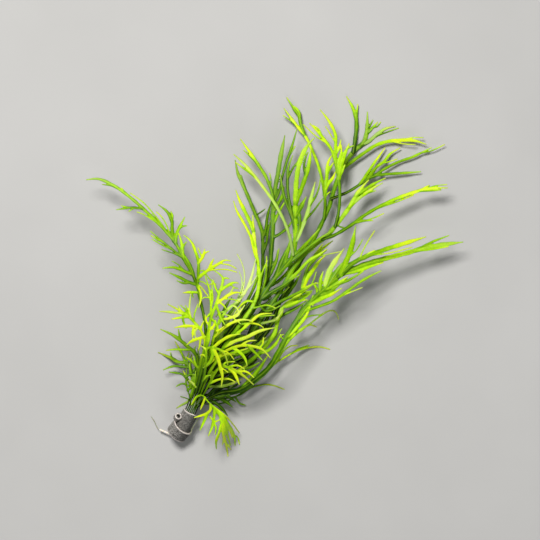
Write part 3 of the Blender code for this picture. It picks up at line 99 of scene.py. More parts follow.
# The bunch, a line a segment, indented under what it grows on: the points of its middle line in
# plan, from root to tip, and before the colon its width, which a thread doesn't give. Before the
# width, a frond has its name, the row and column of its stalk, from -3 to 3 with row 3 on top,
# its height once it has spread, the share of that lost where it droops, the distances from the
# opening where that starts and ends, and its look. A side branch that lies on its frond has its
# name, how far it rises, and its look. A look is youth, from deep green at 0 to yellow green at
# 1, then shade, then gold at the tips. Youth over 1 is for the frond that hangs over the opening,
# and 1.3 for the one with a nearly white end.
BUNCH = """
frond_long_left 1 -1 25 0.35 90 210 0.66 0 0.3 1.9: -47.6,-73 -43.8,-62 -42.6,-50 -41.2,-38 \
  -42,-26 -44.5,-14 -46.5,-5 -50,3 -54.5,11 -59,19.5 -66,28 -75,37 -85,46 -95,53.5 -105,58.3 \
  -112.9,58
 1.7: -46,-9.5 -50.5,-9.3 -54.7,-9.7
  1: -49.6,-9.4 -48.7,-12.6
 1.9: -46.6,-5 -51.4,-3.2 -57,-0.4 -62.7,2.2
  1.4: -50.5,-3.6 -54.5,-3.9 -58.3,-2.4
 1.8: -49.2,1.2 -54,3.2 -60,5.4 -66.7,5
  -52.5,2.5 -57.2,6.8 -61.2,9.2
 1.4: -54,10.2 -59,14.5 -64,18.5 -69,22.5 -74.2,27
  -55.5,11.5 -61,14 -67.2,16
  -60,15.2 -66.5,18.4 -73.2,22.2
  -66,20 -70,22 -73.8,24.4
 -65,27 -71.5,32.6 -78,36.8 -82.5,38.6
 1.5: -79,40.5 -86,41.2 -94.7,40
  -86,41.2 -92,42.2
  -84,41 -87.4,39
 -94,52.8 -98.5,54.4 -103.3,55.2
 pinna_left_fork 4 0.99 0 0.1 1.9: -46.3,-6 -45.6,2 -45.5,9 -47.3,15 -49,19.5 -51.5,22.6 -54,24.4
  2: -45.7,-1 -43,1.3 -39.5,4 -34.5,7 -30,9.6 -26.5,9.2
   1.7: -39.5,4 -38,7.5 -36.4,10.4
   -41,2.8 -36,4 -29,4.2 -22.7,2.6
   -33,7.8 -27,6.8 -23,4.7
  -45.6,2.4 -42.6,3.6 -39.6,-0.6 -35,-4.8
  -46,-2.6 -42.6,-3.4 -40,-5 -37.6,-4.2
  -46,-4.6 -43.6,-6.6 -41,-10 -38.8,-13
  1.6: -46.2,-5.6 -44.4,-9 -44.1,-13 -45.4,-18.4
  1.9: -45.5,8 -43.3,11 -42.3,13.5 -41.7,16.2
   1: -43.4,11 -44.6,14.5 -45.8,17
   1.1: -42.6,12.6 -40.8,14.4 -39.2,14.9
 1.9: -54.2,10.5 -54.9,15 -55.6,20 -57.2,25.6
  1.3: -55,15.5 -54,18.8 -52.6,20.6
 2: -59,19.5 -58.7,25 -56.5,30 -53.9,35.3
  1.2: -57.2,28.6 -54.6,30 -52.6,30.2
 2.1: -60,21 -61.3,28 -61.5,33 -64.5,38.8 -69.6,42.8
  1.1: -61.5,32 -61,36 -62.2,38.8
 -61.8,23.4 -64.6,30.5 -67.6,35.5 -70.8,38.6
 -64,26 -67.5,31.2 -72,36.8 -78.5,44 -86.5,49.9
 1: -90,50 -91.9,53
 1.6: -47.6,-2.4 -49.2,4 -52.4,10.4 -56,15.6
frond_lace_left 2 -1 35 0.2 70 120 0.95 0 0.1 1.9: -46.8,-72 -44.8,-60 -42,-48 -39.6,-34 -37.8,-24 \
  -34.6,-16 -33,-10 -31.3,-5 -30.9,-1 -33,1.6 -36,3.6
 1.3: -38.2,-25.6 -37.9,-18 -38.6,-9 -40,-3.6 -41.3,0.8
  -38.3,-12 -37.2,-7 -37.3,-3
 1.3: -33.2,-10.6 -35,-7 -36.7,-1.8
 1.2: -30.9,-1.6 -29.4,-0.8 -27.2,-1.2
 1.9: -32.4,-8.2 -28.5,-5.6 -24.5,-3.6 -21.8,-3.9
  -26.4,-4.4 -24,-6.6 -22,-6.9
 1.9: -34.6,-16 -30.6,-13 -27,-10.6 -23.4,-9.4 -19.6,-9.7
  1.3: -28.6,-11.6 -26,-9 -24.6,-6.6
  -31,-13.3 -25.5,-13.4 -20.6,-14.7
 1.6: -38,-24.6 -35.6,-26.8 -34,-30 -33.9,-34
  -34.4,-29 -32.6,-27.6 -31.3,-24.8
 -40.3,-38 -38.3,-31.6 -36,-31.2
 1.9: -34.9,-16.8 -33.4,-20.6 -32,-24.4 -29.6,-28.4
 1.2: -34,-14.6 -30.8,-16.6 -28.6,-19.4
 1.2: -36.8,-21 -39.2,-22.6 -40.8,-25
 1.2: -34.5,-32 -32.4,-31.2 -30.2,-29.6
 -38.2,-13 -41,-12.2 -43.6,-13.4
 1.6: -39,-31 -36.6,-29.6 -35,-26
 1.3: -43.4,-54 -41.4,-51.2 -39.2,-50.4
 1.5: -40.9,-42.6 -39.2,-38 -38.7,-33
 1.2: -38.7,-29.6 -40.6,-26.4 -41.3,-22.6
 -38,-20 -36.8,-14 -36.9,-8
frond_left_middle 2 -2 31 0.25 60 110 0.93 0 0.1 1.8: -48,-72 -46.3,-60 -43.9,-50 -41.6,-40 \
  -43.6,-32.6 -48,-27 -52,-23 -57.5,-19.6 -63.4,-16.4
 2: -42,-35.8 -46,-37 -49.5,-38.4 -52.4,-40.6
  1.3: -44,-36.4 -44.6,-40 -45.4,-43.8
 1.9: -45.4,-30 -49,-29.4 -54,-29.4 -59.5,-30.3
  1.6: -48.2,-29.5 -48.8,-32.6 -49,-36.6
 1.6: -51,-24 -54,-24 -58,-24.6 -61.3,-25.2
 1.5: -53,-22.2 -58,-21.6 -63,-20.9 -68.3,-20.6
 1.2: -43.9,-32.2 -43.5,-29.4 -42.4,-26.4
 1: -48.2,-26.8 -47.8,-22.4 -45.7,-16.2
 1.2: -49.6,-25.4 -50.8,-19 -50,-10.4
  -50.6,-21 -53.2,-17.2
 -54.5,-21.4 -57.5,-17.4
 1.1: -49,-26 -52.4,-20.6 -56,-17
 1.5: -54,-21.6 -54.6,-25.6 -52.8,-30.8
 1.3: -47.2,-66.4 -49.8,-63.4 -51.8,-62.4
 1.4: -45.2,-55.6 -47.4,-52.4 -48.4,-47.6
 1.4: -45.2,-30.2 -47.6,-32.6 -47.2,-36.4
frond_left_small 0 -3 15 0.2 50 90 0.66 0 0.4 2.2: -48.6,-73 -49.3,-66 -47.2,-56 -46.8,-49 \
  -49.2,-44.8 -53,-41.6 -57,-38.2 -62,-34.8 -68.6,-31.7
 1.5: -50,-44 -54.5,-44 -60,-43.8 -65.3,-44.4
 1.2: -56,-39.2 -57.3,-35.6 -58,-31.8
 1: -47.2,-47 -48.4,-43.6 -47.7,-42
 1.7: -48.9,-64 -50.8,-58 -51.4,-52.4
 1.6: -47.6,-58 -45,-53 -44.4,-47.6
 1.6: -47.1,-54.6 -50.4,-50.6 -54,-48.4
frond_left_lower -1 -2 7.5 1 29 39.5 0.66 0 0.45 2.1: -49.4,-73 -49.6,-64 -50.8,-56.6 -53,-52.6 \
  -58.5,-51.6 -63,-49.2 -70.7,-46.2
 1.5: -51.4,-55 -56,-54.4 -61.5,-54.2 -67.4,-56.4
 0.9: -60.5,-50.6 -62.8,-48.4 -63.2,-46.2
 1.4: -54,-52.2 -56,-47.4 -60.6,-39.6
 1.1: -51.9,-53.8 -53,-50 -52,-46.2
 1.3: -51,-56 -50.9,-52 -50.4,-47.6
 1.2: -50.2,-59 -48.4,-56 -46,-51.8
 1.6: -49.5,-67 -52.4,-62.4 -55.4,-57
frond_left_base 1 -2 18.5 0.7 18 42 0.6 0 0.35 1.6: -49.8,-75 -52,-70 -53.2,-65.6 -53.4,-61.4 \
  -53.2,-55.7
 1.2: -53.2,-65 -56,-64.4 -59.3,-66
 1.4: -53.4,-61 -55.6,-58.8 -59,-58 -63.7,-57.4
 1.4: -53.3,-60.4 -51,-58.9 -47.6,-59.2
 -53,-66 -51.2,-64.8 -50.4,-62.2
 1.6: -51,-72.6 -49.4,-68 -48,-62 -47.8,-57
 1.6: -52.4,-68.6 -49.6,-64.4 -49.2,-58.6
frond_base_left -2 -2 3.5 0.3 12 30 0.66 0.05 0.25 1.5: -50.2,-76 -53,-73.6 -56.8,-72.4
 1.4: -51.8,-74.7 -54,-76.4 -56.6,-77.7 -59.3,-79.4
frond_hanging 3 0 42 1 13 36 1.04 0 0.05 1.8: -47.8,-74.4 -45.8,-71.6 -43.2,-71.4 -40,-75 \
  -36,-79.4 -33,-83.6 -31.8,-88.6 -31,-94.4 -29.6,-101 -28.5,-109.1
 1.2: -44.6,-71.2 -47.6,-72.6 -50.3,-77.2
 1.4: -42,-72.6 -43,-75.6 -44.8,-79.8
 1.7: -38.6,-76.8 -38.9,-80.2 -42,-82.7 -48.4,-84.8
  1.8: -40.4,-81.8 -42.2,-86 -44.9,-92
 1.9: -36.2,-79.2 -36.6,-84.8 -37.6,-89.8 -39.8,-95.3
 1.8: -32,-87.6 -33.4,-93.6 -35.2,-98.6 -35.3,-103.8
 1.7: -34.4,-81.4 -30,-87.4 -28.6,-95 -26.9,-102.2
 1.9: -36.4,-79 -31.4,-83.4 -27.2,-90.4 -24.6,-96.6 -24.2,-102.6
 -38.6,-76.4 -30.4,-82.4 -25.4,-88.6 -21.6,-94.8
 -30,-99 -26.7,-105
 1.1: -38.9,-84.2 -36.4,-86.8 -33.2,-85.6
 1.5: -32.6,-85.6 -30.2,-91 -30.8,-97.2 -31.6,-101.4
 1.6: -30.6,-84.4 -27,-92.4 -25.8,-97.4
 1.2: -37,-86 -35.4,-90 -35.8,-94.4
 -24.6,-95.6 -22.4,-98 -21.6,-101.6
frond_front_left 2 0 37 0.2 50 90 0.94 0 0.1 1.6: -46,-71 -42.4,-60 -40.9,-50 -40.4,-43 \
  -36.6,-42.2 -32,-43.6 -29.4,-46.6 -28,-52.2
 1.1: -40.6,-45.4 -41.6,-42.4 -44.1,-41
 1: -40.8,-48 -42.6,-46.4 -44.4,-46.6
 2.1: -38,-42.2 -37,-46.4 -39,-51.2 -42.6,-54.2
 2.2: -36.6,-42.2 -34,-48 -32.4,-54 -31.3,-59 -32,-65.4
  -32.6,-53.4 -30,-55.2 -28,-56.8
 -33.4,-43 -27.6,-45.2 -24.4,-49
 1.4: -43.2,-62.4 -41,-59.6 -38.4,-58.8
frond_front_right 2 1 34 0.3 60 110 0.94 0 0.1 1.8: -45,-71 -40,-59 -34.6,-50 -29.4,-44.4 \
  -24,-41.8 -19,-40.7 -13,-41.2 -7.6,-43 -2.8,-48
 2: -25,-42.2 -20.6,-45 -17.8,-48.6 -16.6,-52.4
 1.7: -16.4,-40.8 -12.4,-44.4 -7.6,-49.4
 1.2: -20.6,-40.9 -16,-38.2 -11.6,-37.6
 1.1: -9.6,-42.2 -7.4,-40 -6.8,-36
frond_front_low 2 2 31 0.35 45 90 0.96 0 0.1 1.8: -44.4,-72 -39.2,-64 -35.6,-57 -31.4,-53.6 \
  -26,-54.8 -19.6,-58.4 -12.8,-64.2
 1.5: -35.8,-57.4 -37.6,-57.2 -38.6,-60.4
 2: -27.4,-54.4 -23.8,-58.4 -21.3,-64.2
 1.3: -22.8,-56.4 -17,-56.6 -12.6,-60
 1.3: -29,-54 -22.6,-52.8 -18.2,-55
 1.1: -31.6,-53.6 -29,-51 -24,-50.6
 1.5: -39.2,-64 -33.4,-61.4 -27.6,-61 -24,-62.6
frond_white_blade 1 0 30 0.04 80 130 1.3 0 0 1.7: -46.4,-71.5 -42.4,-58 -38.4,-44 -35.6,-33 \
  -32.6,-25.4 -27.4,-18.8 -21.2,-13.8 -16.6,-7 -13.6,1 -11.5,10.3
 -20.8,-13.2 -18.6,-6 -18.2,2 -19.7,8 -22.4,13.2
 -23.6,-15.8 -20.2,-8 -19.6,-2.4 -21.2,2.8
 1.1: -29.6,-21 -32.6,-21.2 -35,-23.8
 -17.4,-8.4 -13.8,-4.4 -10.8,0.6
 1.2: -25.6,-17 -22.8,-18.4 -21.4,-22.2 -24,-24.4
 -30.6,-22.4 -26.2,-23.6 -20.4,-28
 1.8: -41,-53.4 -36,-49 -30,-46.4 -24,-46
 2: -38.4,-44 -33,-39 -27,-35.4 -20.6,-34
 1.8: -36.4,-36 -31,-31 -26,-27.6 -20,-25.6 -14,-26
 1.6: -32.6,-25.4 -27,-24.6 -22,-22 -18,-17
frond_yellow_tips 1 1 27.5 0.2 100 160 0.78 0 0.4 2.2: -45.8,-71.4 -39,-57 -30.4,-42 -21,-28.6 \
  -12.6,-16 -9.6,-5 -9.8,5 -11.3,14 -12.3,22 -13,30 -13.2,36.4
 1.7: -11.7,17.4 -16,27 -20.2,34.6 -23,39.6 -24.7,44.9
  -18.4,31.6 -22.2,36.8
 2.3: -12.8,27 -15.4,33.4 -18.6,40 -21.4,46 -23.4,51.5
 1.5: -12.4,-15.6 -15,-14.4 -19,-15.8 -24.4,-22.6
 1: -9.6,-5.6 -8,1 -6.4,5.6 -4.6,9.4
 2.2: -30.4,-42 -24,-38.4 -17,-36 -9,-32.2 -0.5,-30.4
 1.3: -21,-28.6 -15.4,-27.6 -10,-28.4 -7,-30.2
 1.8: -26,-36 -21.4,-33 -14.6,-27 -9,-22.6 -2,-21.8
 1.2: -14.6,-19 -10.6,-18.2 -5,-17 0.2,-18.6
 2: -36,-52 -29.6,-47.4 -23,-45 -16,-42.6
 1.3: -9.8,6 -12,13 -13.6,19 -15,24.6
frond_dark_arch -1 -1 11.5 1 100 150 0.4 0.1 0.3 2.2: -47,-72 -42.6,-58 -35.2,-42 -25,-27.6 \
  -15.2,-16.4 -9.2,-6 -7.4,4 -7.3,15 -7.6,25 -9.4,32 -12.2,38.6 -16,47.6 -19.6,56 -22.6,63 \
  -24.1,70.4
 1: -11.5,37 -8.6,38.8 -6,40.8
 -15.8,47 -18.2,54 -20.4,61.4
 1.9: -7.5,22 -5.4,30 -4.4,37 -2.2,45.4
 1.5: -7.3,13 -5.2,20 -4.2,27 -2.6,34
 1.6: -14.4,-15.4 -7.6,-11 -3.4,-7.2 -2.3,-4.2
 1.7: -25.6,-28.6 -20,-29.2 -14,-28.2 -8,-30
frond_tall_left 0 -1 19 0.25 110 190 0.44 0 0.4 2.8: -46.4,-71.6 -40.8,-57 -32.4,-41 -22,-26.6 \
  -12,-15 -5.4,-4 -3,6 -2.2,16 -1.4,25 -1.2,35 -1,44 0,52 1.8,62 3.6,73 5.9,84.8
 pinna_tall_left 2 0.66 0 0.5 2: -1,44 -2,51 -5.4,59.6 -10,67 -15.4,75 -20.7,82.4
  -8.4,64.6 -13.4,70.4 -18.7,75.8
  -2.6,53.4 -2.4,58 -3.2,62
 1.6: -1,43 2.4,51 4.4,60 7,69 10.4,79 13.1,88.4
  8,71.4 10.4,75.4 12.2,78.4
 1.8: -1.6,23 3,25.6 7.6,29.4 11,34.6
 1.4: -3,5 0.4,9.6 1.6,15.6
 1.5: -12.6,-15.6 -9.6,-17 -5,-16 -2,-12.6
 1.8: -22.6,-27.4 -17.6,-26 -11.6,-22.4
 2: -32.4,-41 -31.4,-33 -27.6,-25.6 -23.4,-19
 1.8: -22,-26.6 -19.4,-19 -15,-11.6 -11.4,-3 -10.4,6
 2: -12,-15 -7.4,-11.4 -1.6,-9.6 4,-9.8 8.4,-6.4
 2: -6.8,-6.4 -1.6,-5 3.4,-1.6 8,3.4 12,9.6
 1.6: -1.2,30 1.6,37 4.6,42.6 6.8,45.8
 1.8: -40.8,-57 -34.6,-52 -29,-50.4 -22.6,-52
 2.2: -1.1,38 1.8,43.6 4.4,48.4 5.6,54
 1.8: -5.4,-4 -1.4,4 1,10 2.4,16.6
 1.9: -11.4,-14 -6.6,-13.6 -1.4,-10.6
frond_centre 0 0 23.5 0.2 110 190 0.46 0 0.4 3: -45.6,-72 -38,-57 -29,-42.6 -18.6,-28 -9.6,-14.6 \
  -2,-3.4 5,5 10.4,12 12,22 12,34 12.2,46 12.8,57 14.4,67 17.2,74.6 20.6,80 23.5,83
 pinna_centre_left 1 0.66 0 0.55 1.9: 10.7,13 8.8,23.6 5.2,33.6 0,43.4 -6,52 -12.4,60.4 -18.4,67.4 \
   -24.7,73.2
  1.2: -11.4,59 -17,63.4 -23.6,68.4
 1.8: 11.6,30 9.4,41 7.8,50 7.5,59 8.2,66 10.6,72.6
  1.3: 7.5,58 10.4,64.4 14.1,69.6
 2.7: 12.2,43 15.6,52 19,62 20.8,70 21.6,77
  1.5: 18.4,59.4 17.4,66 18.4,71 19.9,74.6
 2.8: 12,35 14.6,40 18.6,47.6
 2.4: 12,20 16,29 19.4,38 21.4,46 24.1,56.6
  1.2: 17.8,33.4 22.4,38.4 28.7,46.8
  1.2: 20.4,41.6 24.4,48 26.5,54 27.1,58.4
 1.5: -10,-15.2 -6.4,-20 -1.4,-19.6 3,-17.4
 2: -9.6,-14.6 -3,-9.6 4,-5.8 10,-1.6 14.6,0.6
 2.6: -4,-6.4 0.6,1 3.4,8 6.2,14 9,20.4
 2: 3,2.6 8,9 14,15 20,21 26.4,28.4
 1.8: 6,6.4 13,11.4 20,17.4 26.6,22.6 33,26.8
 1.6: -18.6,-28 -12.4,-24.4 -6,-23.4 -0.5,-23
 2.2: -38,-57 -31.6,-54.4 -25,-50.4 -19,-48.4
 2.2: -33,-49 -26.4,-43.4 -19,-39.4 -11,-38
 1.7: -14,-21 -9.4,-12 -6.4,-4 -5.2,4 -5,12
 1.9: 12,27 9.8,36 6.6,44.4 4.6,52 3.2,61.4
 2: 12,22 14.6,29 14.6,37 12.3,44
 2: 5,5 7,12 8.4,18 9.6,25
frond_crown_right -1 0 13.5 1 130 205 0.5 0 0.45 2.6: -44.6,-73 -35,-63 -23,-53 -11.6,-42 -2.4,-29 \
  2.6,-16 7.6,-7 12,2 16.4,11 21.4,19.4 26,27.6 29.6,35 32.6,42 35,50 38.2,60 42,68 46,73.8 \
  49.4,77.4 53.4,81 55.4,86 56,92 56.1,99.7
 pinna_crown_left 1.5 0.72 0 0.5 1.9: 29.4,34.6 30.2,45 28.8,56 26.4,66 23,75 18.6,84.4 13,91.4 \
   9.4,96.4 5.5,101.6
  2.3: 29.9,49 30.8,55 31.4,62 31.8,67.6 33.4,71.6 35.4,74.4
   1.7: 31.3,61 33.2,65.4 35.4,68.8
  2: 30.4,52.4 32.6,56.4 35,59.6 36.6,63.4
  30.2,46.6 31.4,49.4 33.2,51
  14.4,89.8 9.6,94 5,97.4
  2: 18,85.4 15.4,92.6 14.6,97 11.6,101.4 7.2,108.3
   1.4: 14.9,95 15,99 12.8,102 11,103.2
 pinna_crown_low 2 0.7 0 0.45 1.8: 34,46.8 44,51 52,56 58.6,60.2 66,61.7 78,62.6 88.2,63.4
  1.7: 51,55.4 56.6,63.6 61.4,70.6 66.6,77.8
  1.9: 55.4,58.2 61,65.6 66,69.6 70,74.4 75.7,77.8
   64.4,68.4 69,69.4 74.2,71.2
  1.7: 60,60.8 67,65.4 75,69.4 83,72.2 90,75.6 94.7,77.9
   88,74.6 95,76.2 102.6,79.8
 pinna_crown_arch 3.5 0.88 0 0.2 2.2: 40.6,65 47,69.8 54,74.8 60.4,79 67,81.4 75,82.4 84,82.2 \
   91.4,80
  76,82.4 83,84 89.6,84
  70,81.8 78,80.2 84.8,79.8
 pinna_crown_top 1 0.62 0 0.4 2.5: 47.4,75.4 48.6,83 49.4,91 48.8,97.6 46.6,103.4 43.4,108.95
  1.3: 49.2,94 49.6,99.6 50.2,104.2
 2.2: 51.4,79.2 57,82.2 62,86.2 67,89.6 72.8,91
  60,84.6 67.4,87.4 74.7,90
 1.6: 55.4,86 58.6,89.6 62.3,93.6
  59.4,90.4 62,91 64.1,93.6
 1.1: 55.8,89.2 57.8,91.8 59.4,94.8
 2: -2.4,-29 4,-23.6 12,-19.4 19.4,-14.6
 1.5: 2.6,-16 8,-13 15,-10.4 22,-8.6
 2.2: 7.6,-7 7.4,0 9.6,8 10.4,16
 2.4: -11.6,-42 -6,-40 0,-36.4 4,-31.4
 2.2: -23,-53 -16,-50.4 -9,-46.6 -4,-41.4
 1.8: -29,-57.8 -22,-60 -16,-58.6 -11,-54.8
 2.2: 2.6,-16 7.6,-10.4 12.4,-3.6 15.4,2.4
 2.2: 12,2 14,8 18.6,13.4 23.4,16.2
frond_upper_right 0 1 20 0.25 120 200 0.66 0 0.45 2.7: -44.4,-72.4 -35.6,-60 -24.6,-47 -14,-34 \
  -4.6,-20 3.6,-8 10.4,4 17,13 24.6,19.4 31.4,24.6 36.4,30.6 41.4,37 45.6,43 49,49 53,54.4 56.4,58
 pinna_upper_left 1.5 0.82 0 0.35 2: 36,30 38,38 38.9,48 38.4,57 36.9,66 36.4,76 36.3,85 32.6,93 \
   27.2,100
  1.9: 37,65.4 34.4,75 30.6,81 26,86.6 20.8,92
   31.4,79.8 25,84 17,91.2
   28.4,84 26.6,88.2 23,90.8
  36.4,80 33,85.8 30.4,90
  3.2: 38.2,59 39.4,66 40.8,71.6 42.8,75.8 44.6,79.8
   1.1: 42.6,76 44.8,77.6 47,78.6
  1.2: 38.3,58 40.4,62.6 42,67
  1.4: 36.5,73 38.4,77 39.6,82
  2: 38.3,61 38.2,68 39.8,74 39.8,79
 1.8: 48.4,48 54,52.4 60,56 66.4,59.1
 2: 44,40.8 49.4,46 55,50.3 60,53.7 64.7,56.2
  1.3: 53,49 56.6,50.6 60.5,51.6
 pinna_upper_low 1.5 0.74 0 0.4 2.1: 28.4,22.2 36,25 45,30.4 53,36.2 62,41.6 72,46.4 81,49.8 \
   90,52.4 97,53.2 103.6,53.2
  1.5: 47,31.8 53,33.4 58.6,33.5
   53.6,33.4 59.4,35.2 65.2,37.8
  60,40.4 72,44.4 83.2,48.8
  1: 86,51.4 92,51.4 99.7,52
  90,52.4 96,54.4 103.2,55.2
  87,51.6 90,53.6 92.8,54.8
 2: 3.6,-8 8.4,-2.4 14,3 20,9.4 26,13 31,16.4
 1.8: -4.6,-20 2,-15.6 10,-11.6 18,-7.6 24.6,-3.6
 1.6: -10,-28.2 -4,-27 1,-25 4.6,-20
 2: -35.6,-60 -29,-57 -22.4,-56.4 -16.4,-53
 2.2: -24.6,-47 -17.6,-45 -11,-41 -5.6,-36.4
 1.8: -40,-66 -33,-66 -26.4,-64.4 -19.6,-61.4
 2: -30,-53.4 -27.4,-46 -25.8,-39 -24,-31.6
 1: 36.8,31 39.6,29.6 43,29
frond_light_leaf 0 2 16.5 0.3 80 130 0.8 0 0.2 2.4: -43.6,-73.4 -33.6,-65 -21.4,-56 -9.6,-46 \
  -0.8,-35 1.6,-26.6 4.6,-18.6 10.6,-14 16.4,-9 22,-5 26.4,-3.9
 2.1: 16,-9.4 17.6,-1 20.4,6.4 25,11.2 31.2,15.9
  1.2: 19.2,3.8 23,11.6 28.6,19.4
  1.7: 23,9.4 28,16.2 34.7,21.4
  26.4,12.2 33,13.6 39.6,15
 21.6,-5.2 23.6,-1.4 24.8,2.6
 1.2: 10,-14.4 15.4,-12.4 22.4,-8.4
 1.2: 0.9,-27 3.6,-23.4 4.8,-20.6
 1.7: 23.4,-4.6 25.2,-8 24.8,-13 22.6,-17.6
 1.6: 4.6,-18.6 9.4,-16.6 14.4,-14.8 19.4,-14
 2: -9.6,-46 -4.4,-44.4 0.6,-40 3.4,-34.6
 1.8: -21.4,-56 -15,-54.6 -9.4,-51.6
 2.5: 16.6,-6.4 19.8,-0.6 23.4,4.8 27,9.6 30.2,12.4
 1.5: 4.6,-18.6 10,-17.4 17,-13.4 22,-9.6
frond_long_right 1 2 25.5 0.3 120 220 0.78 0 0.3 2.9: -43.4,-74.4 -33.6,-70 -21.4,-67.4 -11.4,-61 \
  -3.2,-53.4 2,-44.6 6.4,-36.6 11.6,-28 17,-19.6 23.6,-12.6 31.6,-5.4 40,1.4 50,6 60,9.2 70,11.8 \
  80,14.4 90,17.2 100,19 112.85,20.7
 pinna_long_right 4 0.82 0 0.2 2.7: 38,0 46,7.6 54,11.8 64,15.6 76,19.4 90.2,23.7
  1: 52,11 56,14 59.2,15.6
  56,12.6 68,14 81.8,17.5
  3.3: 39,1 41.6,7.4 44.4,14 46.4,21 48,29.7
   45.4,12.6 48.6,16 52.2,22
  50,10 54,18.6 59.4,27.3
 3.2: 30,-6.6 31.2,0 34.4,7 41.2,16.6
 2.3: 26.6,-9.8 27,-5 27.4,-1 28.6,2.8
 1.5: 84,15.4 94,20.6 104.4,24.6
 83,15.2 92,15.8 104,17.9
 2.2: 28.4,-8.4 36,-4.8 43.4,-0.2
  1.6: 34.6,-5.6 43,-2.6 52.6,3
 2.4: 19.4,-17 28,-13 34,-10.4 39.8,-7
 1.8: 16,-21.2 26,-17.8 34,-14.8 41,-10.2 50,-3.8 56,-0.2 63.3,3.4
  38,-12.4 45,-9.4 52,-6.6
 1: 5.6,-38 3.4,-35.4 5,-34.4
 2: 6.4,-36.6 12.4,-31 18.6,-23 21.4,-15.6
 2: -21.4,-67.4 -15,-61.4 -9,-54 -4,-46.4
 2.2: 31.6,-5.4 40,4 50,10.4 59,15.4
 2: 40,1.4 49,3.2 57,6 64.6,8.3
 1.7: 25,-11.4 32,-9.4 37.4,-5.6 41,-2.6
 3: 31.6,-5.4 35,0.4 38.6,5.4 42.4,10.2
 1.8: 11.6,-28 16.4,-22 20.6,-16.4 22.6,-11.4
 33,-4.2 34.6,2 39.6,5.8
frond_hooked -1 1 9.5 0.75 80 130 0.6 0 0.3 2: -43.2,-75 -32.6,-71.6 -20.6,-69 -9.6,-61.6 -1,-52.6 \
  4.4,-43.6 9.6,-37 15,-32.6 20.6,-29.2 24.9,-30.4
 1.1: 19.6,-29.6 26,-24.8 31,-21.4 35,-20.6 37.4,-22.6 38.4,-25.8
 1.1: 12.6,-34.4 15.4,-27.6 20.6,-24 28,-23
 1.6: 9,-37.6 11.6,-30.4 13.4,-25 17,-16.6
 2.2: -20.6,-69 -14,-62 -9,-55.6 -5,-49
frond_thin_low -1 2 6.5 1 60 90 0.68 0 0.3 1.1: -42.8,-76.4 -32,-74 -21,-71.4 -10.4,-62.8 -1.6,-54 \
  5,-49.4 12,-45.6 20,-43.2 27.6,-42.8 33.2,-44.2
 1: 0.6,-52.2 5,-45.4 9,-42.3 13.5,-41.8
 10,-46.6 14,-43.8 20.6,-41.6
frond_lowest -2 2 3 1 20 50 0.66 0 0.3 1: -42.6,-77.8 -32,-76.6 -22,-71.8 -14.6,-67.6 -6,-65.6 \
  0,-66.4 5.6,-68.5
 1.2: -24,-73 -21.6,-76.6 -18,-78
frond_inner_right 0 3 14 0.2 50 90 0.42 0.25 0.1 1.8: -43,-76.2 -36,-72.4 -30,-69.4 -25.2,-65.4
 1.6: -36.6,-72.6 -32,-72.2 -27.2,-71
 1.7: -38.4,-73.6 -36.6,-69 -33,-65.6 -28,-63
 1.3: -30.4,-69.6 -25.6,-69.4 -22.6,-67.2
 2: -39.4,-74.2 -35,-76.6 -31.4,-80 -28.6,-83.6
 2.4: -36,-72.4 -30,-74.8 -25.6,-78.6
 1.8: -33,-71 -28,-72.4 -23.6,-75.4
frond_inner_middle 0 -2 12.7 0 60 100 0.45 0.2 0.1 2.4: -48.4,-71.8 -45,-61.6 -41,-48 -35.6,-38 \
  -30.4,-30 -27.4,-22
 2.2: -42.4,-51 -38,-46 -31,-42.6 -25.6,-42
 2.4: -36.4,-39.4 -30,-37 -22,-36 -14,-35.4
 2.2: -44.8,-57.6 -40,-55 -33,-54 -26,-50
 2: -31.4,-31.4 -25.4,-29 -21.4,-23.4
 1.6: -43.4,-53.6 -45.6,-50 -46.4,-43.6
 1.8: -39.8,-45.8 -41.2,-38 -40.2,-31
 2.2: -30.4,-30 -31.4,-24 -29.6,-18 -26,-12.6
 2.2: -27.8,-23 -22.6,-16.6 -18,-8.6
 2.2: -35.6,-38 -30,-33.4 -23,-31.4 -16,-31.6
frond_inner_low -2 0 6 0.5 40 80 0.36 0.35 0.1 2.5: -45.2,-73 -37.6,-65 -28,-57 -18.6,-48 -11,-38 \
  -5.6,-28
 2.2: -38.6,-66 -32,-64.4 -26,-62 -20,-57
 2: -29,-57.8 -22,-56.6 -16,-55 -10.6,-50
 2.2: -31.6,-60 -31.6,-53 -29,-46 -25.6,-38
 2: -19.4,-48.8 -18.6,-41 -15,-33
 2: -13,-40.8 -7,-39.4 -2,-35.4 0,-30.6
 2.2: -11,-38 -5.4,-32 -0.8,-26 2.6,-20
 2.4: -15.6,-34.4 -12,-27 -7,-20 -3.4,-13.6
 2.2: -7.2,-31 -4,-24 0,-17 2,-10
 2: -12,-39.4 -10.6,-31 -11.4,-23
frond_inner_left -2 -1 5 0.5 30 60 0.4 0.3 0.1 2.2: -47.8,-73 -45.4,-65 -43.6,-57 -42.8,-49 \
  -44,-41
 1.6: -46,-67 -49,-63 -50.6,-57
 2: -45,-63.4 -40.6,-59 -37.6,-52 -36.4,-45
 1.4: -43.6,-57.4 -46.6,-53.6 -47.6,-48
frond_inner_base -2 1 4 0.5 20 50 0.36 0.35 0.1 2: -44,-74.4 -37,-70 -30,-66 -23,-61 -17.4,-54.6
 1.6: -38.6,-71 -33.6,-71 -29.6,-72.6
 1.5: -31,-66.6 -26,-67 -20.6,-64
 1.6: -35,-68.8 -33.6,-63 -30.6,-58.6
 1.6: -37,-70 -33,-70 -27.4,-69.6
 2: -17.8,-55.4 -12.6,-50.6 -9,-45
frond_lying -3 0 1.6 0.4 20 60 0.3 0.4 0.1 2: -46.4,-72.6 -41,-62 -34.4,-51 -27,-40.6 -18.4,-31
 1.8: -42,-64 -36,-61.4 -30.4,-56.6
